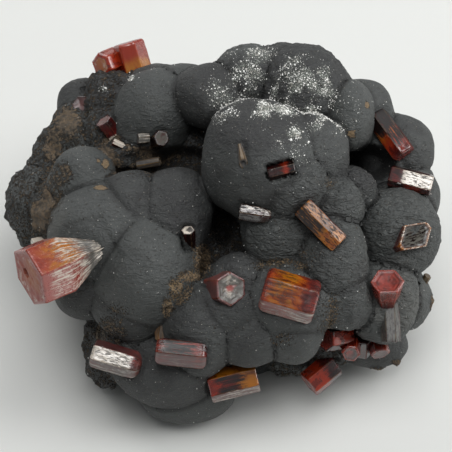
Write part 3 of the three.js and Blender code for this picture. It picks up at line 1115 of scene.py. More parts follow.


# the chalk zones of lower_left, right_lying, shoulder_red, shoulder_slender and silver_bullet are
# painted highlights where those faces would mirror a lamp
CRYSTALS = (
    Crystal("large_left", RED, (
        Prism((-22.5, -5, 16.9), 203, 24, 36, 9.6, 12.2, taper=0.8, shoulder=7.5, bevel=0.03,
              ragged=0.7, pit=(-0.9, -0.7, 0.6), zones=(
            (ROSE, CAP, 0.75), (FIRE, CAP, 1.3), (FIRE, SIDES, 1.1, 0.35),
            (GOLD, CAP, 0.4, 0, 0.75), (CHALK, CAP, 0.3, 0.6), (ROSE, SIDES, 0.45, 0.62),
            (ROSE, "01", 0.7, 0.4), (GOLD, "5", 0.6, 0.3, 0.9), (CHALK, SIDES, 0.44, 0.28, 0.75),
            (CHALK, "0", 0.43, 0.35, 0.92), (SPECK, "5", 0.5, 0, 0.8), (ASH, SIDES, 1.1, 0, 0.45),
            (SHADE, SIDES, 0.5, 0, 0.4), (CHALK, SIDES, 0.44, 0, 0.3), (DULL, CAP, 0.65))),
    )),
    Crystal("tiny_left", RED, (
        Prism((-26.4, -2.3, 4.9), 195, 20, 10, 1.8, 2.6, zones=(
            (CHALK, CAP + SIDES, 3.2, 0.12),)),
    )),
    Crystal("top_left_twins", AMBER, (
        Prism((-13.3, 23.7, -4.8), 106, 6, 6, 5, 5.4, bevel=0.1, zones=(
            (FIRE, SIDES), (GOLD, "05", 0.85, 0.05, 0.5), (ROSE, "5" + CAP, 0.6, 0.3))),
        Prism((-16.6, 23.4, -4.4), 207, 50, 10, 4, 4.2, bevel=0.14, zones=(
            (FIRE, CAP + SIDES, 0.9), (ROSE, CAP, 0.9), (GOLD, CAP, 0.45), (CHALK, CAP, 0.3),
            (DULL, CAP, 0.5))),
    )),
    Crystal("ghost_end", COATED, (
        Prism((-20, 16.9, -3.9), 150, 62, 5, 3, 3.6, end=End.HOPPER, moat=0.1, zones=(
            (ROSE, CAP, 0.4, 0, 0.6), (BLOOM, CAP, 0.6), (SHADE, SIDES, 0.6))),
    )),
    Crystal("shoulder_red", RED, (
        Prism((-16.5, 13.7, 2.4), 127, 25, 20, 2.7, 3.6, zones=(
            (ROSE, CAP, 0.4), (ASH, CAP, 0.4), (CHALK, "50", 1.7, 0, 0.3))),
    )),
    Crystal("shoulder_slender", RED, (
        Prism((-14.6, 11.3, 5), 155, 8, 0, 1.1, 3.4, zones=(
            (CHALK, "50", 1.6, 0.45), (ASH, SIDES, 1, 0, 0.5))),
    )),
    Crystal("shoulder_facing", COATED, (
        Prism((-9.7, 12.3, 5.8), 20, 68, 0, 2.6, 3, zones=(
            (ASH, CAP, 0.75), (DULL, CAP, 0.7), (SHADE, SIDES, 1.25))),
    )),
    Crystal("shoulder_pale", COATED, (
        Prism((-11.8, 12.5, 6.2), 185, 15, 20, 1.7, 1.6, end=End.BROKEN, zones=(
            (ASH, "50" + CAP, 1.2), (CHALK, "50", 0.3), (SHADE, "1"))),
    )),
    Crystal("ledge_tan", TAN, (
        Prism((-11.1, 9, 4.6), 10, 10, 20, 1.5, 3.4, end=End.BROKEN, bevel=0.12, zones=(
            (SHADE, "015", 0.6),)),
    )),
    Crystal("hollow_stub", COATED, (
        Prism((-5.3, -1.8, 13.7), 97, 42, 10, 2.2, 3.2, taper=0.25, bevel=0.02, moat=0.1, bare=0.25,
              zones=(
            (CHALK, CAP, 0.75), (ASH, CAP, 1.2), (SHADE, SIDES, 1.3))),
    )),
    Crystal("tan_stick", TAN, (
        Prism((2.3, 9.9, 20.2), 282, 0, 0, 1.3, 3.6, taper=0.35, end=End.HOLLOW, ragged=0.15,
              cut=1.3, zones=(
            # painted shade inside the hollow end
            (SHADE, CAP, 1.5, 0, 0.7), (SHADE, "15", 0.6))),
    )),
    Crystal("sunken_red", RED, (
        Prism((7.8, 8, 18.4), 14, -6, -8, 2.2, 3.8, bevel=0.1, moat=0.1, bare=0.2, zones=(
            # painted shade where the goethite overhangs the sunken crystal
            (FIRE, "01", 1.2, 0.5, 0.8), (SHADE, "015", 1.15, 0, 0.5), (SHADE, SIDES, 1.1, 0.8),
            (BLOOM, "05", 0.35, 0, 0.5))),
    )),
    Crystal("silver_bullet", COATED, (
        Prism((4.2, 1.8, 16.5), -10, 4, 20, 2.7, 4.4, end=End.DOME, crown=2, bevel=0.1, zones=(
            (SHADE, "0145", 0.95), (CHALK, "10" + CAP, 0.37), (SPECK, "015"))),
    )),
    Crystal("slanted", AMBER, (
        Prism((13.5, 0.1, 17.6), -45, 0, 30, 3.5, 7.2, bevel=0.08, zones=(
            (GOLD, "05", 0.9), (SHADE, "0", 0.5, 0, 0.8), (SHADE, "5", 0.75, 0, 0.6),
            (FIRE, "5", 0.9, 0.5), (CHALK, "0", 0.25), (SPECK, "05", 0.9), (DULL, "05", 0.5))),
    )),
    Crystal("right_upper", AMBER, (
        Prism((23.4, 13, 4.4), -55, 14, 20, 3.7, 7.3, bevel=0.13, zones=(
            (FIRE, "015", 0.8, 0.4, 0.85), (GOLD, "05", 0.5, 0.35, 0.6), (SHADE, "01", 1, 0.4, 0.8),
            (DULL, "01", 0.85, 0, 0.85), (SHADE, SIDES, 1.8, 0, 0.42), (ASH, "015", 0.15, 0, 0.4),
            (ROSE, CAP, 0.5))),
    )),
    Crystal("right_lying", RED, (
        Prism((26.4, 6.5, 4.7), -14, 5, 18, 3.1, 6.2, bevel=0.08, uneven=(1, 1.1, 1, 1, 1, 1.25),
              zones=(
            (CHALK, "0", 2.4, 0.36), (SPECK, "0", 0.85, 0.3), (SHADE, "51", 0.6),
            (FIRE, "5", 0.8, 0.35, 0.9), (DULL, "0", 1, 0, 0.36), (SHADE, "0", 0.4, 0, 0.36))),
    )),
    Crystal("right_stub", COATED, (
        Prism((26.1, -1.7, 9.9), 20, 62, -20, 5.5, 4, end=End.BROKEN, bevel=0.03, moat=0.3,
              uneven=(1.3, 0.9, 0.75, 1.25, 0.9, 0.75), zones=(
            (SHADE, CAP, 1.3, 0, 0.9), (ASH, CAP, 0.7, 0, 0.9), (GOLD, CAP + SIDES, 0.42, 0.88),
            (CHALK, CAP + SIDES, 0.45, 0.9), (SPECK, CAP, 1, 0, 0.9))),
    )),
    Crystal("right_pair", RED, (
        Prism((23, -9.7, 12.4), 92, 50, 0, 4.9, 5.6, taper=0.45, end=End.HOPPER, bevel=0.03, zones=(
            (FIRE, CAP, 0.9, 0, 0.9), (ROSE, CAP, 0.7, 0, 0.85), (BLOOM, CAP, 0.4),
            (DULL, CAP, 0.9, 0, 0.9), (CHALK, CAP, 0.5, 0.94), (FIRE, SIDES, 0.75, 0.4),
            (ROSE, SIDES, 0.5, 0.4), (SHADE, SIDES, 0.4, 0, 0.6), (CHALK, SIDES, 0.22, 0.3, 0.8))),
        Prism((23.5, -13.7, 10.9), 272, 4, -5, 2.9, 5.6, zones=(
            (ASH, SIDES, 0.75), (SHADE, SIDES, 1.1), (SPECK, SIDES, 0.8))),
    )),
    Crystal("right_tiny", TAN, (
        Prism((28.3, -7.9, 1.8), 60, 30, 0, 1.2, 2.2),
    )),
    Crystal("base_cluster", RED, (
        Prism((15.7, -15.9, 7.9), 187, 45, 5, 3.9, 4.4, bevel=0.04, bare=0.25, zones=(
            (FIRE, "0" + CAP, 0.6), (ROSE, CAP, 0.3), (SHADE, "15", 0.5))),
        Prism((17.9, -17.1, 6.6), 262, 60, 0, 2.9, 4.4, bevel=0.1, zones=(
            (ROSE, CAP, 0.8, 0, 0.6), (SHADE, CAP, 0.4), (FIRE, SIDES, 0.5, 0.4))),
        Prism((19.6, -17.1, 5), 90, 50, 10, 2.6, 3.4, zones=(
            (SHADE, CAP + SIDES, 0.7),)),
        Prism((21.6, -16.7, 4.5), 285, 30, 14, 3, 3.8, bevel=0.1, zones=(
            (FIRE, SIDES, 0.4), (SHADE, CAP, 0.45), (BLOOM, CAP, 0.5))),
    )),
    Crystal("base_hanging", RED, (
        Prism((13.6, -21.1, 4), 219, 10, 12, 4.2, 4.8, bevel=0.06, zones=(
            (FIRE, "015" + CAP, 0.9, 0.35), (SHADE, SIDES, 0.65, 0, 0.45),
            (ASH, "05", 0.3, 0, 0.25))),
    )),
    Crystal("amber_centre", AMBER, (
        Prism((9.1, -10, 18.6), -16, 0, 0, 6.5, 7.6, bevel=0.13, zones=(
            (FIRE, "015", 0.8, 0, 0.7), (GOLD, "01", 0.7, 0.12, 0.66), (ROSE, "5", 0.5),
            (ROSE, "01" + CAP, 0.4, 0.8), (BLOOM, "5", 0.5), (SHADE, "01", 0.4, 0.68),
            (SHADE, "01", 0.42, 0, 0.6), (CHALK, "5", 0.32))),
    )),
    Crystal("facing", COATED, (
        Prism((-0.3, -9, 15.6), 2, 68, 0, 5, 5, end=End.HOPPER, bevel=0.04, zones=(
            (ASH, CAP, 0.9, 0.25), (ROSE, CAP, 0.9, 0, 0.6), (CHALK, CAP, 0.26),
            (BLOOM, SIDES, 0.5), (ROSE, SIDES, 0.4))),
    )),
    Crystal("lower_middle", RED, (
        Prism((-6.4, -18.2, 15.8), -6, 0, 28, 4.2, 7.1, bevel=0.2, zones=(
            (CHALK, "0", 0.1, 0, 0.75), (BLOOM, "5", 0.5), (SHADE, "0", 1.1, 0.1, 0.75),
            (FIRE, "0", 0.9, 0, 0.8), (ROSE, "0", 0.4, 0, 0.8), (DULL, "0", 0.6, 0.1, 0.9),
            (SHADE, "5", 0.4), (FIRE, SIDES, 0.6, 0.76, 0.93), (ROSE, CAP, 0.4), (CHALK, "5", 0.2),
            (SPECK, "0", 0.6))),
    )),
    Crystal("lower_left", RED, (
        Prism((-15.6, -19.1, 12), -16, 4, 7, 4.3, 7.1, end=End.DOME, crown=0.9, bevel=0.12, zones=(
            (CHALK, "0", 2.8, 0, 0.74), (SPECK, "0", 0.75, 0, 0.9), (BLOOM, "51" + CAP, 0.6),
            (CHALK, "5", 0.3), (ASH, "5", 0.45, 0, 0.9), (ROSE, "5" + CAP, 0.5, 0.75),
            (ROSE, "01", 0.7, 0.78), (ASH, "01", 0.3, 0.78))),
    )),
    Crystal("lower_right", AMBER, (
        Prism((1, -22.2, 9.4), 14, 0, -3, 4.8, 6.9, bevel=0.05, end=End.BROKEN, zones=(
            (FIRE, "01", 0.3, 0, 0.4), (GOLD, "1", 1, 0.15), (GOLD, "0", 0.65, 0.6),
            (SHADE, "0", 0.75, 0.15, 0.75), (BLOOM, "5", 0.75), (CHALK, "5", 0.36),
            (SHADE, CAP, 0.9))),
    )),
    Crystal("brown_block", TAN, (
        Prism((-9.1, -15, 12.6), 80, 12, 0, 2.2, 2.8, end=End.BROKEN, bevel=0.2, ragged=0.3,
              moat=0.1, zones=(
            (GOLD, SIDES, 0.22), (SHADE, SIDES, 0.25))),
    )),
)
PRISMS = [prism for crystal in CRYSTALS for prism in crystal.prisms]


# ---- the lump's mesh ----
@dataclass
class GoethiteMatrix:
    """The lump of botryoidal goethite: lobes grown into each other, broken off flat underneath."""

    voxel: float = 0.36
    most_faces: int = 190_000
    blend: float = 0.2
    fill: float = 1.1
    crease_width: float = 2.2
    groove_width: float = 0.42
    groove_depth: float = 0.3
    flat_snap: float = 0.22
    big_lobe: float = 6.4
    behind: float = -4.0
    turned_away: float = -0.25
    settlings: int = 3
    moat_width: float = 0.55
    sharp_deg: float = 60.0
    tone_seed: int = 11
    noise: Noise = field(default_factory=lambda: Noise(5))

    def lobes(self) -> list[Lobe]:
        """Return all lobes, in the order that seeds their swelling."""
        return [CORE, *CROWN, *RIGHT, *CENTRE, *LEFT, *FOOT, *SHOULDER, *BackLobes().lobes()]

    def lobe_shells(self) -> tuple[Array, list]:
        """Make closed shells of all lobes, each cut off at the flat underside.

        Returns:
            Their vertices and faces.
        """
        verts, faces, count = [], [], 0
        for seed, lobe in enumerate(self.lobes()):
            shell = bmesh.new()
            fineness = 5 if (lobe.width + lobe.height + lobe.depth) / 3 > self.big_lobe else 4
            bmesh.ops.create_icosphere(shell, subdivisions=fineness, radius=1.0)
            ball = np.array([v.co[:] for v in shell.verts])
            for vert, place in zip(shell.verts, lobe.surface(ball, seed)):
                vert.co = place
            cut = bmesh.ops.bisect_plane(
                shell, geom=[*shell.verts, *shell.edges, *shell.faces], plane_co=(0, 0, 0),
                plane_no=(0, 0, 1), clear_inner=True,
            )
            rim = [part for part in cut["geom_cut"] if isinstance(part, bmesh.types.BMEdge)]
            if rim:
                bmesh.ops.holes_fill(shell, edges=rim)
            shell.verts.index_update()
            verts.append(np.array([v.co[:] for v in shell.verts]))
            faces += [tuple(v.index + count for v in f.verts) for f in shell.faces]
            count += len(shell.verts)
            shell.free()
        return np.vstack(verts), faces

    def skin(self) -> bpy.types.Object:
        """Draw one closed skin round all the shells.

        Returns:
            The lump's piece.
        """
        piece = mesh_object("goethite_lump", *self.lobe_shells())
        remesh = piece.modifiers.new("skin", "REMESH")
        remesh.mode = "VOXEL"
        remesh.voxel_size = self.voxel * MM
        ease = piece.modifiers.new("ease", "SMOOTH")
        ease.factor, ease.iterations = 0.5, 2
        self.apply(piece)
        self.thin_out(piece)
        return piece

    @staticmethod
    def apply(piece: bpy.types.Object) -> None:
        """Make a piece's modifiers part of its mesh.

        Args:
            piece: the piece.
        """
        before = piece.data
        piece.data = evaluated_copy(piece)
        bpy.data.meshes.remove(before)

    def thin_out(self, piece: bpy.types.Object) -> None:
        """Merge faces of the back and the underside, which need fewer than the display side.

        Args:
            piece: the lump's piece.
        """
        mesh = piece.data
        behind = DISPLAY.flat(vertices_mm(mesh))[:, 2] < self.behind
        hidden = behind | (vertex_normals(mesh) @ DISPLAY.axes()[2] < self.turned_away)
        group = piece.vertex_groups.new(name="back")
        group.add([int(k) for k in np.flatnonzero(hidden)], 1.0, "REPLACE")
        thin = piece.modifiers.new("thin", "DECIMATE")
        thin.ratio = min(1.0, self.most_faces / (2 * len(mesh.polygons)))
        thin.vertex_group = group.name
        self.apply(piece)
        piece.vertex_groups.clear()

    def settle(self, piece: bpy.types.Object) -> None:
        """Fill the folds between lobes, as new layers grown over all of them do.

        Args:
            piece: the lump's piece.
        """
        for _ in range(self.settlings):
            points = vertices_mm(piece.data)
            total = np.zeros(len(points))
            for seed, lobe in enumerate(self.lobes()):
                total += np.exp(-np.clip(lobe.distance(points, seed), -3, 40) / self.fill)
            short = self.fill * np.log(total) * smoothstep(0.0, 0.6, points[:, 2])
            move = 0.8 * np.clip(short, -1, 1)[:, None]
            set_vertices_mm(piece.data, points + vertex_normals(piece.data) * move)

    def survey(self, points: Array) -> dict[str, Array]:
        """Find which lobe each point belongs to and how near it is to a crease.

        Args:
            points: places on the skin.

        Returns:
            The share of each skin, a tone for each lobe, and the crease between lobes.
        """
        rng = np.random.default_rng(self.tone_seed)
        total = np.full(len(points), 1e-12)
        found = {name: np.zeros(len(points)) for name in (*(skin.value for skin in Skin), "tone")}
        nearest = np.full((2, len(points)), 1e9)
        for seed, lobe in enumerate(self.lobes()):
            distance = lobe.distance(points, seed)
            weight = np.exp(-np.clip(distance, -1, 30) / self.blend)
            total += weight
            found["tone"] += weight * rng.uniform(0, 1)
            found[lobe.skin.value] += weight
            nearest = np.sort(np.vstack([nearest, distance]), axis=0)[:2]
        found = {name: share / total for name, share in found.items()}
        found["crease"] = 1 - smoothstep(0.3, self.crease_width, nearest[1])
        between = np.exp(-(((nearest[1] - nearest[0]) / self.groove_width) ** 2))
        found["groove"] = between * found["crease"]
        return found

    def lay(self, found: dict[str, Array], points: Array, flat: Array) -> None:
        """Find where dust, crust, rust and druse lie, and how light the goethite is.

        Args:
            found: what the survey found, to which this adds.
            points: places on the skin.
            flat: the same as the eye sees them.
        """
        ragged = self.noise.fractal(points, 3.0, 3)
        # painted light and shade, over the tone that differs from lobe to lobe
        found["tone"] += spread(LIGHTER, flat) - spread(DARKER, flat)
        found["crust"] = spread(TAN_CRUST, flat)
        gathered = spread(TAN_DUST, flat) * (0.3 + 0.7 * found["crease"])
        found["dust"] = np.maximum.reduce([gathered, found["crust"], spread(TAN_GRAINS, flat)])
        earth = np.maximum(spread(BROWN_EARTH, flat), spread(BROWN_CREVICE, flat) * found["crease"])
        found["rust"] = np.clip(earth * (1 + 0.6 * ragged), 0, 1)
        facing = smoothstep(-6, -2, flat[:, 2])
        found["druse"] = spread(WHITE_DRUSE, flat) * facing * smoothstep(-0.5, 0.5, ragged)

    def relief(self, points: Array, found: dict[str, Array]) -> Array:
        """Raise or sink the skin, by its kind.

        Args:
            points: places on the skin.
            found: what lies there.

        Returns:
            The rise of each place.
        """
        fractal, ridged = self.noise.fractal, self.noise.ridged
        grainy = np.maximum(found["drusy"], found["druse"])
        earthy = np.maximum(found["earthy"], 0.6 * found["rust"])
        rise = 0.1 * found["crust"] - self.groove_depth * found["groove"]
        # where, how deep, the kind of noise, the size of its forms, its layers and its middle level
        for share, depth, kind, size, octaves, level in (
            (1.0, 0.1, fractal, 2.8, 3, 0.0),
            (found["wrinkled"], 0.4, ridged, 1.7, 3, 0.55),
            (found["smooth"], 0.07, ridged, 2.4, 3, 0.5),
            (grainy, 0.2, fractal, 1.0, 3, 0.0),
            (earthy, 0.55, fractal, 2.4, 4, 0.0),
            (earthy, 0.5, ridged, 1.2, 3, 0.5),
            (found["crust"], 0.6, fractal, 0.8, 3, 0.0),
        ):
            rise += share * depth * (kind(points, size, octaves) - level)
        return rise

    def moats(self, points: Array) -> Array:
        """Sink the skin where it meets the crystals.

        Args:
            points: places on the skin.

        Returns:
            How far each of them sinks.
        """
        sunk = np.zeros(len(points))
        for prism in PRISMS:
            width = self.moat_width + 0.25 * prism.moat
            near = 1 - smoothstep(0.0, width, prism.distance(points))
            sunk = np.maximum(sunk, prism.moat * near)
        return sunk

    def build(self) -> bpy.types.Object:
        """Make the lump, with what its material reads stored on it.

        Returns:
            The finished piece without a material.
        """
        piece = self.skin()
        self.settle(piece)
        mesh = piece.data
        points = vertices_mm(mesh)
        flat = DISPLAY.flat(points)
        found = self.survey(points)
        self.lay(found, points, flat)
        moat = self.moats(points)
        above = smoothstep(0.0, 0.8, points[:, 2])
        rise = (self.relief(points, found) - moat) * above
        points += vertex_normals(mesh) * rise[:, None]
        pit = spread(HOLLOWS, flat) * smoothstep(8.0, 5.0, flat[:, 2]) * above
        points -= np.outer(pit, DISPLAY.axes()[2])
        for prism in PRISMS:
            if prism.bare:
                points += prism.clearing(points)
        points[:, 2] = np.where(points[:, 2] < self.flat_snap, 0.0, points[:, 2])
        set_vertices_mm(mesh, points)
        # painted shade: the moats round the crystals and the hollows are darkened like the creases
        deep = smoothstep(0.0, 0.5, np.maximum(moat, pit))
        found["crease"] = np.maximum(found["crease"], deep)
        found["drape"] = flat
        for name, values in found.items():
            store(mesh, name, values)
        shade(mesh, self.sharp_deg)
        log.info("%s: %d faces", piece.name, len(mesh.polygons))
        return piece


@dataclass
class QuartzDruse:
    """Tiny glassy grains scattered over the lump, thick on the druse and sparse elsewhere."""

    thickest: float = 48.0
    sparse: float = 0.0045
    smallest: float = 0.045
    largest: float = 0.2
    clump: float = 1.6
    seed: int = 3
    clump_seed: int = 8

    def sizes(self) -> dict[str, float]:
        """Return the values of the tree's named inputs, in metres."""
        return {"Thickest": self.thickest / MM**2, "Smallest": self.smallest * MM,
                "Largest": self.largest * MM, "Seed": self.seed}

    def tree(self, material: bpy.types.Material) -> bpy.types.NodeTree:
        """Build the tree that scatters the grains.

        Args:
            material: what the grains are made of.

        Returns:
            The node tree, with inputs for how thick and how large the grains are.
        """
        tree = bpy.data.node_groups.new("scatter_grains", "GeometryNodeTree")
        new_socket = tree.interface.new_socket
        new_socket("Lump", in_out="INPUT", socket_type="NodeSocketGeometry")
        for name, value in self.sizes().items():
            kind = "NodeSocketInt" if isinstance(value, int) else "NodeSocketFloat"
            new_socket(name, in_out="INPUT", socket_type=kind)
        new_socket("Grains", in_out="OUTPUT", socket_type="NodeSocketGeometry")
        given = add(tree, "NodeGroupInput").node.outputs
        grit = add(tree, "GeometryNodeInputNamedAttribute", "grit", data_type="FLOAT")
        spots = add(tree, "GeometryNodeDistributePointsOnFaces", given["Lump"], named={
            "Density": add(tree, "ShaderNodeMath", grit, given["Thickest"], **TIMES),
            "Seed": given["Seed"]})
        grain = add(tree, "GeometryNodeMeshCone", named={
            "Vertices": 5, "Radius Top": 0.3, "Radius Bottom": 1.0, "Depth": 1.6})
        turn, stretch = (
            add(tree, "FunctionNodeRandomValue", low, high, named={"Seed": seed},
                data_type="FLOAT_VECTOR")
            for low, high, seed in (
                ((0, 0, 0), (6.28, 6.28, 6.28), 1), ((0.6, 0.6, 0.5), (1, 1, 1), 4)))
        chance = add(tree, "FunctionNodeRandomValue", named={2: 0, 3: 1, "Seed": 2}, out=1,
                     data_type="FLOAT")
        # most grains are small, and those that lie alone smaller still
        chance = add(tree, "ShaderNodeMath", chance, 3.0, operation="POWER")
        size = add(tree, "ShaderNodeMapRange", chance, 0, 1, given["Smallest"], given["Largest"])
        alone = add(tree, "ShaderNodeMapRange", grit, 0, 0.2, 0.6, 1)
        size = add(tree, "ShaderNodeMath", size, alone, **TIMES)
        scale = add(tree, "ShaderNodeVectorMath", stretch, named={"Scale": size}, operation="SCALE")
        grains = add(tree, "GeometryNodeInstanceOnPoints", named={
            "Points": spots, "Instance": grain, "Rotation": turn, "Scale": scale})
        grains = add(tree, "GeometryNodeRealizeInstances", grains)
        grains = add(tree, "GeometryNodeSetMaterial", grains, named={"Material": material})
        add(tree, "NodeGroupOutput", grains)
        return tree

    def build(self, lump: bpy.types.Object, material: bpy.types.Material) -> bpy.types.Object:
        """Scatter the grains over the lump.

        Args:
            lump: the finished lump.
            material: what the grains are made of.

        Returns:
            The grains as one plain piece.
        """
        points = vertices_mm(lump.data)
        druse = read(lump.data.attributes["druse"].data, "value", 1)
        clumps = smoothstep(-0.2, 0.5, Noise(self.clump_seed).fractal(points, self.clump, 3))
        up_side = smoothstep(-8, 0, DISPLAY.flat(points)[:, 2])
        grit = druse * (0.55 + 0.45 * clumps) + self.sparse * (0.3 + 0.7 * up_side)
        carrier = new_object("grain_carrier", lump.data.copy())
        store(carrier.data, "grit", grit * smoothstep(0.2, 1.0, points[:, 2]))
        scatter = carrier.modifiers.new("scatter", "NODES")
        scatter.node_group = self.tree(material)
        sizes = self.sizes()
        for item in scatter.node_group.interface.items_tree:
            if item.name in sizes:
                scatter[item.identifier] = sizes[item.name]
        grains = new_object("quartz_druse", evaluated_copy(carrier))
        carried = carrier.data
        bpy.data.objects.remove(carrier)
        bpy.data.meshes.remove(carried)
        log.info("%s: %d faces", grains.name, len(grains.data.polygons))
        return grains


# ---- finishes ----
@dataclass(frozen=True)
class BotryoidalGoethite:
    """Black goethite with a skin like dull glazed iron: it looks charcoal, matte, a little silky.

    Earthy limonite gathers in its creases and looks tan; where it weathers it looks rusty brown.
    """

    black: str = "#1c1d1e"
    charcoal: str = "#3a3d3c"
    # painted shade: near black laid in the creases between lobes, in the hollows and in the moats
    # round the crystals
    soot: str = "#121313"
    worn: str = "#4a4b48"
    tan: str = "#7f6b4f"
    rust: str = "#494036"
    ochre: str = "#715f49"
    speck: str = "#8f8b80"
    frost: str = "#7f857b"
    # limonite gathers in spots of half a millimetre and crumbs of a fifth, and growth bands are as
    # wide; the skin's own grain is finer than 0.1 mm, so grit is drawn as coarse as it has to be
    # to show
    cloud: Pattern = Pattern(2.6, 4)
    grime: Pattern = Pattern(0.5, 4)
    crumbs: Pattern = Pattern(0.22)
    powder: Pattern = Pattern(0.14, 2)
    grit: Pattern = Pattern(0.32, 4, 0.65)
    folds: Pattern = Pattern(0.9, 3, 0.55, (0.45, 1, 0.6), 0.6)
    bands: Pattern = Pattern(0.5, shrunk=(0.12, 1, 1))
    specks_a_mm: float = 1.6

    def material(self) -> bpy.types.Material:
        """Build the material.

        Returns:
            The material.
        """
        paint = Paint("botryoidal_goethite")
        node = paint.add
        place = paint.millimetres()
        crease, tone, rust, earthy, dust, druse, wrinkled, lined = (
            node("Attribute", attribute_name=name, out="Fac")
            for name in ("crease", "tone", "rust", "earthy", "dust", "druse", "wrinkled", "lined"))
        cloud, grime, crumbs, powder, grit = (
            pattern.on(paint, place)
            for pattern in (self.cloud, self.grime, self.crumbs, self.powder, self.grit))
        cloud = node("Math", cloud, 0.7, **TIMES)
        tone = node("Math", tone, 0.5, cloud, operation="MULTIPLY_ADD")
        rusty = node("Math", earthy, 0.4, rust, operation="MULTIPLY_ADD")
        rusty = paint.stir(rusty, grime, 0.25, 0.75, -0.35, 0.35)
        rusty = paint.stir(rusty, crumbs, 0.25, 0.75, -0.3, 0.3)
        dusty = paint.stir(dust, crumbs, 0.25, 0.75, -0.6, 0.6)
        frosted = paint.stir(druse, powder, 0.3, 0.7, -0.75, 0.45)
        voronoi = {"Vector": place, "Scale": self.specks_a_mm}
        specks = node("TexVoronoi", named=voronoi, out="Distance")
        earth = paint.cover(self.rust, self.ochre, grime, 0.35, 0.7)
        crust = paint.cover(self.ochre, self.tan, grime, 0.4, 0.65)
        colour = self.black
        for tint, pattern, low, high, strength in (
            # the tone holds painted light and shade from the lighter and darker patches; the worn
            # grey is its palest part
            (self.charcoal, tone, 0.25, 0.85, 1.0),
            (self.worn, tone, 0.85, 1.25, 1.0),
            (self.worn, grime, 0.5, 0.75, 0.45),
            # painted shade in the creases, the hollows and the moats round the crystals
            (self.soot, crease, 0.35, 1.0, 0.85),
            (earth, rusty, 0.3, 0.8, 0.85),
            (crust, dusty, 0.45, 0.8, 1.0),
            (self.speck, specks, 0.11, 0.05, 1.0),
            (self.frost, frosted, 0.3, 0.8, 0.7),
        ):
            colour = paint.cover(colour, tint, pattern, low, high, strength)
        dull = paint.most(
            node("MapRange", dusty, 0.45, 0.8, **EASED), node("MapRange", rusty, 0.3, 0.8, **EASED))
        rough = node("MapRange", dull, 0, 1, 0.66, 0.95, **EASED)
        rough = paint.stir(rough, grime, 0, 1, -0.12, 0.12)

        # relief: wrinkles and parallel lines on the lobes that have them, and fine grain everywhere
        drape = node("Attribute", attribute_name="drape", out="Vector")
        folds, bands = self.folds.on(paint, drape), self.bands.on(paint, drape)
        folds = node("Math", node("Math", folds, 0.5, operation="SUBTRACT"), operation="ABSOLUTE")
        wrinkled = node("Math", wrinkled, 0.75, 0.3, operation="MULTIPLY_ADD")
        wrinkle = node("Math", node("MapRange", folds, 0, 0.14, **EASED), wrinkled, **TIMES)
        line = node("Math", bands, lined, **TIMES)
        grain = node("Math", dull, grime, grit, operation="MULTIPLY_ADD")
        crumb = node("Math", dull, crumbs, **TIMES)
        normal = paint.dented((wrinkle, 0.2), (line, 0.2), (grain, 0.16), (crumb, 0.2))
        return paint.finish({
            "Base Color": colour, "Roughness": rough, "Normal": normal, "IOR": 1.6})


@dataclass(frozen=True)
class QuartzGrain:
    """Clear quartz in grains of a tenth of a millimetre: it looks like white glitter."""

    white: str = "#f2f2ee"
    smoky: str = "#a8a49c"
    cloud: Pattern = Pattern(0.9, 3, 0.5)

    def material(self) -> bpy.types.Material:
        """Build the material.

        Returns:
            The material.
        """
        paint = Paint("quartz_grains")
        cloud = self.cloud.on(paint, paint.millimetres())
        colour = paint.cover(self.smoky, self.white, cloud, 0.3, 0.6)
        return paint.finish({"Base Color": colour, "Roughness": 0.22, "IOR": 1.54})


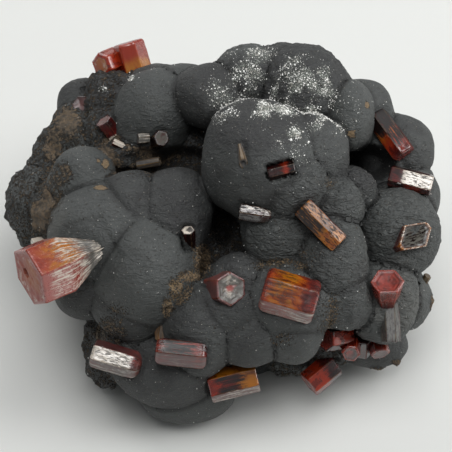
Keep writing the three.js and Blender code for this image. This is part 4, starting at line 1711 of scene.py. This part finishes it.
@dataclass(frozen=True)
class Vanadinite:
    """Vanadinite, grown as glassy prisms: an adamantine lustre over a deep, glowing colour.

    Old faces carry a dull film that looks pinkish grey, and corroded ones look chalky. The chalky
    colour is also laid on some faces as a painted highlight.
    """

    deep: str
    body: str
    fire: str = "#9c2c0f"
    gold: str = "#b06a12"
    rose: str = "#954038"
    bloom: str = "#553230"
    # pale cream: a chalky crust, and a painted highlight on faces that would mirror a lamp
    chalk: str = "#d8cdbf"
    ash: str = "#504e48"
    # near black: a dark film, and painted shade in holes, hollow ends and sunk places
    shade: str = "#150b0a"
    rim: str = "#8c7050"
    lustre: float = 0.5
    gloss: float = 0.16
    transmission: float = 0.25
    absorption: float = 250.0
    relief: float = 0.014
    # growth lines are finer than 0.1 mm, so streaks and pores are drawn as coarse as they have to
    # be to show; where the length is shrunk, the pattern runs lengthwise
    streaks: Pattern = Pattern(0.22, 4, 0.65, (1, 1, 0.07))
    flecks: Pattern = Pattern(0.5, 4, 0.65)
    veils: Pattern = Pattern(1.3, 4, 0.55, (1, 1, 0.6), 0.8)
    pores: Pattern = Pattern(0.24, shrunk=(1, 1, 0.3))
    ribs: Pattern = Pattern(0.5, 2, 0.5, (1, 1, 0.12))
    swells: Pattern = Pattern(0.9, 2, 0.5)

    def material(self, name: str) -> bpy.types.Material:
        """Build the material.

        Args:
            name: the material's name.

        Returns:
            The material.
        """
        paint = Paint(name)
        node = paint.add
        tints = {tone: node("Attribute", attribute_name=tone.value, out="Fac") for tone in Tone}
        edge = node("Attribute", attribute_name="edge", out="Fac")
        grain = node("Attribute", attribute_name="grain", out="Vector")
        streaks, flecks, veils, pores, ribs, swells = (
            pattern.on(paint, grain) for pattern in (
                self.streaks, self.flecks, self.veils, self.pores, self.ribs, self.swells))
        film = node("Math", flecks, 0.25, **TIMES)
        film = node("Math", streaks, 0.75, film, operation="MULTIPLY_ADD")
        colour = paint.cover(self.deep, self.body, veils, 0.35, 0.68)
        for tone, pattern, patchy, soft in (
            (FIRE, veils, 0.5, 0.45), (ROSE, veils, 0.4, 0.45), (GOLD, veils, 0.6, 0.5),
            # a dark film, and painted shade where it lies in holes, hollow ends and sunk places
            (SHADE, film, 0.8, 0.4), (BLOOM, film, 0.9, 0.4), (ASH, film, 0.6, 0.4),
            # a chalky crust, and painted highlights
            (CHALK, film, 0.9, 0.22),
        ):
            swing = node("MapRange", pattern, 0.34, 0.66, 1 - patchy, 1 + patchy, **EASED)
            amount = node("Math", tints[tone], swing, **TIMES)
            tint = getattr(self, tone.value)
            colour = paint.cover(colour, tint, amount, 0.5 - soft, 0.5 + soft)
        pits = node("Math", node("MapRange", pores, 0.51, 0.57, **EASED), tints[SPECK], **TIMES)
        rims = node("Math", edge, node("MapRange", flecks, 0.42, 0.62, 0, 0.25, **EASED), **TIMES)
        for share, tint in ((pits, self.shade), (rims, self.rim)):
            colour = node("Mix", named={0: share, 6: colour, 7: tint}, **COLOURS)
        # a film takes some of the gloss, and dull faces, pits and worn edges have less
        filmed = paint.most(tints[BLOOM], tints[ASH], (tints[ROSE], 0.6))
        rough = node("MapRange", filmed, 0, 1, self.gloss, 0.5, **EASED)
        rough = paint.stir(rough, flecks, 0.3, 0.7, -0.04, 0.08)
        rough = paint.most(rough, (pits, 0.8), (tints[DULL], 0.6), (edge, 0.4))
        dark = node("MapRange", tints[SHADE], 1, 1.3, 0, 0.85, **EASED)
        matte = paint.most(dark, (edge, 0.9), tints[DULL])
        sound = node("Math", 1.0, pits, operation="SUBTRACT")
        shader = {
            "Base Color": colour, "Roughness": rough, "IOR": 2.0,
            "Normal": paint.dented(
                (ribs, self.relief), (swells, self.relief), (sound, 0.6 * self.relief)),
            "Specular IOR Level": node("MapRange", matte, 0, 1, self.lustre, 0, **EASED),
            "Transmission Weight": self.transmission,
        }
        if not self.transmission:
            return paint.finish(shader)
        return paint.finish(shader, node("VolumeAbsorption", self.fire, self.absorption))


FINISHES = {
    # deep red and glassy: nearly black where it is thick
    RED: Vanadinite("#2c0707", "#6a1613"),
    # a little clearer: it glows brownish orange
    AMBER: Vanadinite("#480d0b", "#7c1f11"),
    # under a thin grown film: opaque, with a soft sheen
    COATED: Vanadinite("#2e100f", "#542a27", transmission=0.0, gloss=0.25),
    # weathered and dusted with limonite: tan and matte
    TAN: Vanadinite("#3c2f1f", "#655338", transmission=0.0, gloss=0.7),
}


# ---- studio ----
@dataclass(frozen=True)
class PaperFinish:
    """Plain matte paper: it looks an even, pale, slightly warm grey."""

    colour: str = "#d3d4d1"
    fibre: str = "#c2c3bf"
    felt: Pattern = Pattern(1.2, 3, 0.5)

    def material(self) -> bpy.types.Material:
        """Build the material.

        Returns:
            The material.
        """
        paint = Paint("studio_paper")
        share = paint.add("Math", self.felt.on(paint, paint.millimetres()), 0.06, **TIMES)
        colour = paint.add("Mix", named={0: share, 6: self.colour, 7: self.fibre}, **COLOURS)
        return paint.finish({"Base Color": colour, "Roughness": 0.9})


@dataclass(frozen=True)
class Softbox:
    """One soft square lamp that faces the specimen.

    azimuth is the side it hangs on, 0 in front and 90 at the right, and elevation its height above
    the horizon, both in degrees. side is in metres, power in watts and distance in metres.
    """

    name: str
    azimuth: float
    elevation: float
    side: float
    power: float
    distance: float = 0.6

    def hang(self) -> None:
        """Hang the lamp."""
        turn, rise = math.radians(self.azimuth), math.radians(self.elevation)
        run = math.cos(rise)
        way = Vector((math.sin(turn) * run, -math.cos(turn) * run, math.sin(rise)))
        data = bpy.data.lights.new(self.name, "AREA")
        data.shape, data.size, data.energy = "SQUARE", self.side, self.power
        lamp = new_object(self.name, data)
        lamp.location = way * self.distance
        lamp.rotation_euler = (-way).to_track_quat("-Z", "Y").to_euler()


@dataclass
class Studio:
    """The floor, the lights and the camera."""

    floor_mm: float = 1600.0
    view_width_mm: float = 64.57
    sensor_mm: float = 36.0
    fill_colour: str = "#f1f4f6"
    fill_strength: float = 0.2
    lamps: tuple[Softbox, ...] = (
        Softbox("window_softbox", 96, 34, 0.5, 2.9),
        Softbox("ceiling_softbox", 4, 79, 0.38, 2.3),
        Softbox("back_softbox", 205, 32, 0.5, 1.4),
    )

    def floor(self) -> None:
        """Lay the floor."""
        corners = np.array([[-1, -1, 0], [1, -1, 0], [1, 1, 0], [-1, 1, 0]])
        floor = mesh_object("studio_floor", corners * self.floor_mm / 2, [(0, 1, 2, 3)])
        floor.data.materials.append(PaperFinish().material())

    def sky(self) -> None:
        """Fill the room with even light."""
        world = bpy.data.worlds.new("studio_fill")
        world.use_nodes = True
        tree = world.node_tree
        tree.nodes.clear()
        glow = add(tree, "ShaderNodeBackground", self.fill_colour, self.fill_strength)
        add(tree, "ShaderNodeOutputWorld", glow, is_active_output=True)
        bpy.context.scene.world = world

    def camera(self) -> None:
        """Set the camera where the display side faces it."""
        data = bpy.data.cameras.new("display_camera")
        data.sensor_fit, data.sensor_width = "HORIZONTAL", self.sensor_mm
        data.lens = self.sensor_mm * DISPLAY.eye_mm / self.view_width_mm
        data.clip_start, data.clip_end = 0.01, 10.0
        camera = new_object("display_camera", data)
        right, up, out = (Vector(axis) for axis in DISPLAY.axes())
        turned = Matrix((right, up, out)).transposed().to_4x4()
        turned.translation = (Vector(DISPLAY.middle) + out * DISPLAY.eye_mm) * MM
        camera.matrix_world = turned
        bpy.context.scene.camera = camera

    def build(self) -> None:
        """Set up the whole studio."""
        bpy.context.scene.view_settings.view_transform = "Standard"
        self.floor()
        for lamp in self.lamps:
            lamp.hang()
        self.sky()
        self.camera()


# ---- assembly ----
def place(piece: bpy.types.Object, finish: bpy.types.Material, slot: str, *nodes: str) -> None:
    """Dress a piece, let it ride on the specimen and stand for nodes of the solid model.

    Args:
        piece: the finished piece.
        finish: its material, unless it has one.
        slot: the name of its material slot; not used.
        *nodes: the nodes that it replaces.
    """
    if not piece.data.materials:
        piece.data.materials.append(finish)
    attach(piece, BODY)
    if nodes:
        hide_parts(*nodes)
    log.info("%s stands for %s", piece.name, ", ".join(nodes) or "no node")


def main() -> None:
    """Build the specimen and its studio."""
    logging.basicConfig(level=logging.INFO, format="%(name)s: %(message)s")
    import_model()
    Studio().build()

    goethite, quartz = BotryoidalGoethite().material(), QuartzGrain().material()
    lump = GoethiteMatrix().build()
    place(lump, goethite, "goethite", "goethite_matrix")
    place(QuartzDruse().build(lump, quartz), quartz, "goethite")

    finishes = {kind: finish.material(kind.value) for kind, finish in FINISHES.items()}
    noise = Noise(21)
    for seed, crystal in enumerate(CRYSTALS):
        piece = crystal.build(noise, seed)
        place(piece, finishes[crystal.finish], crystal.finish.value, crystal.name)


if __name__ == "__main__":
    main()
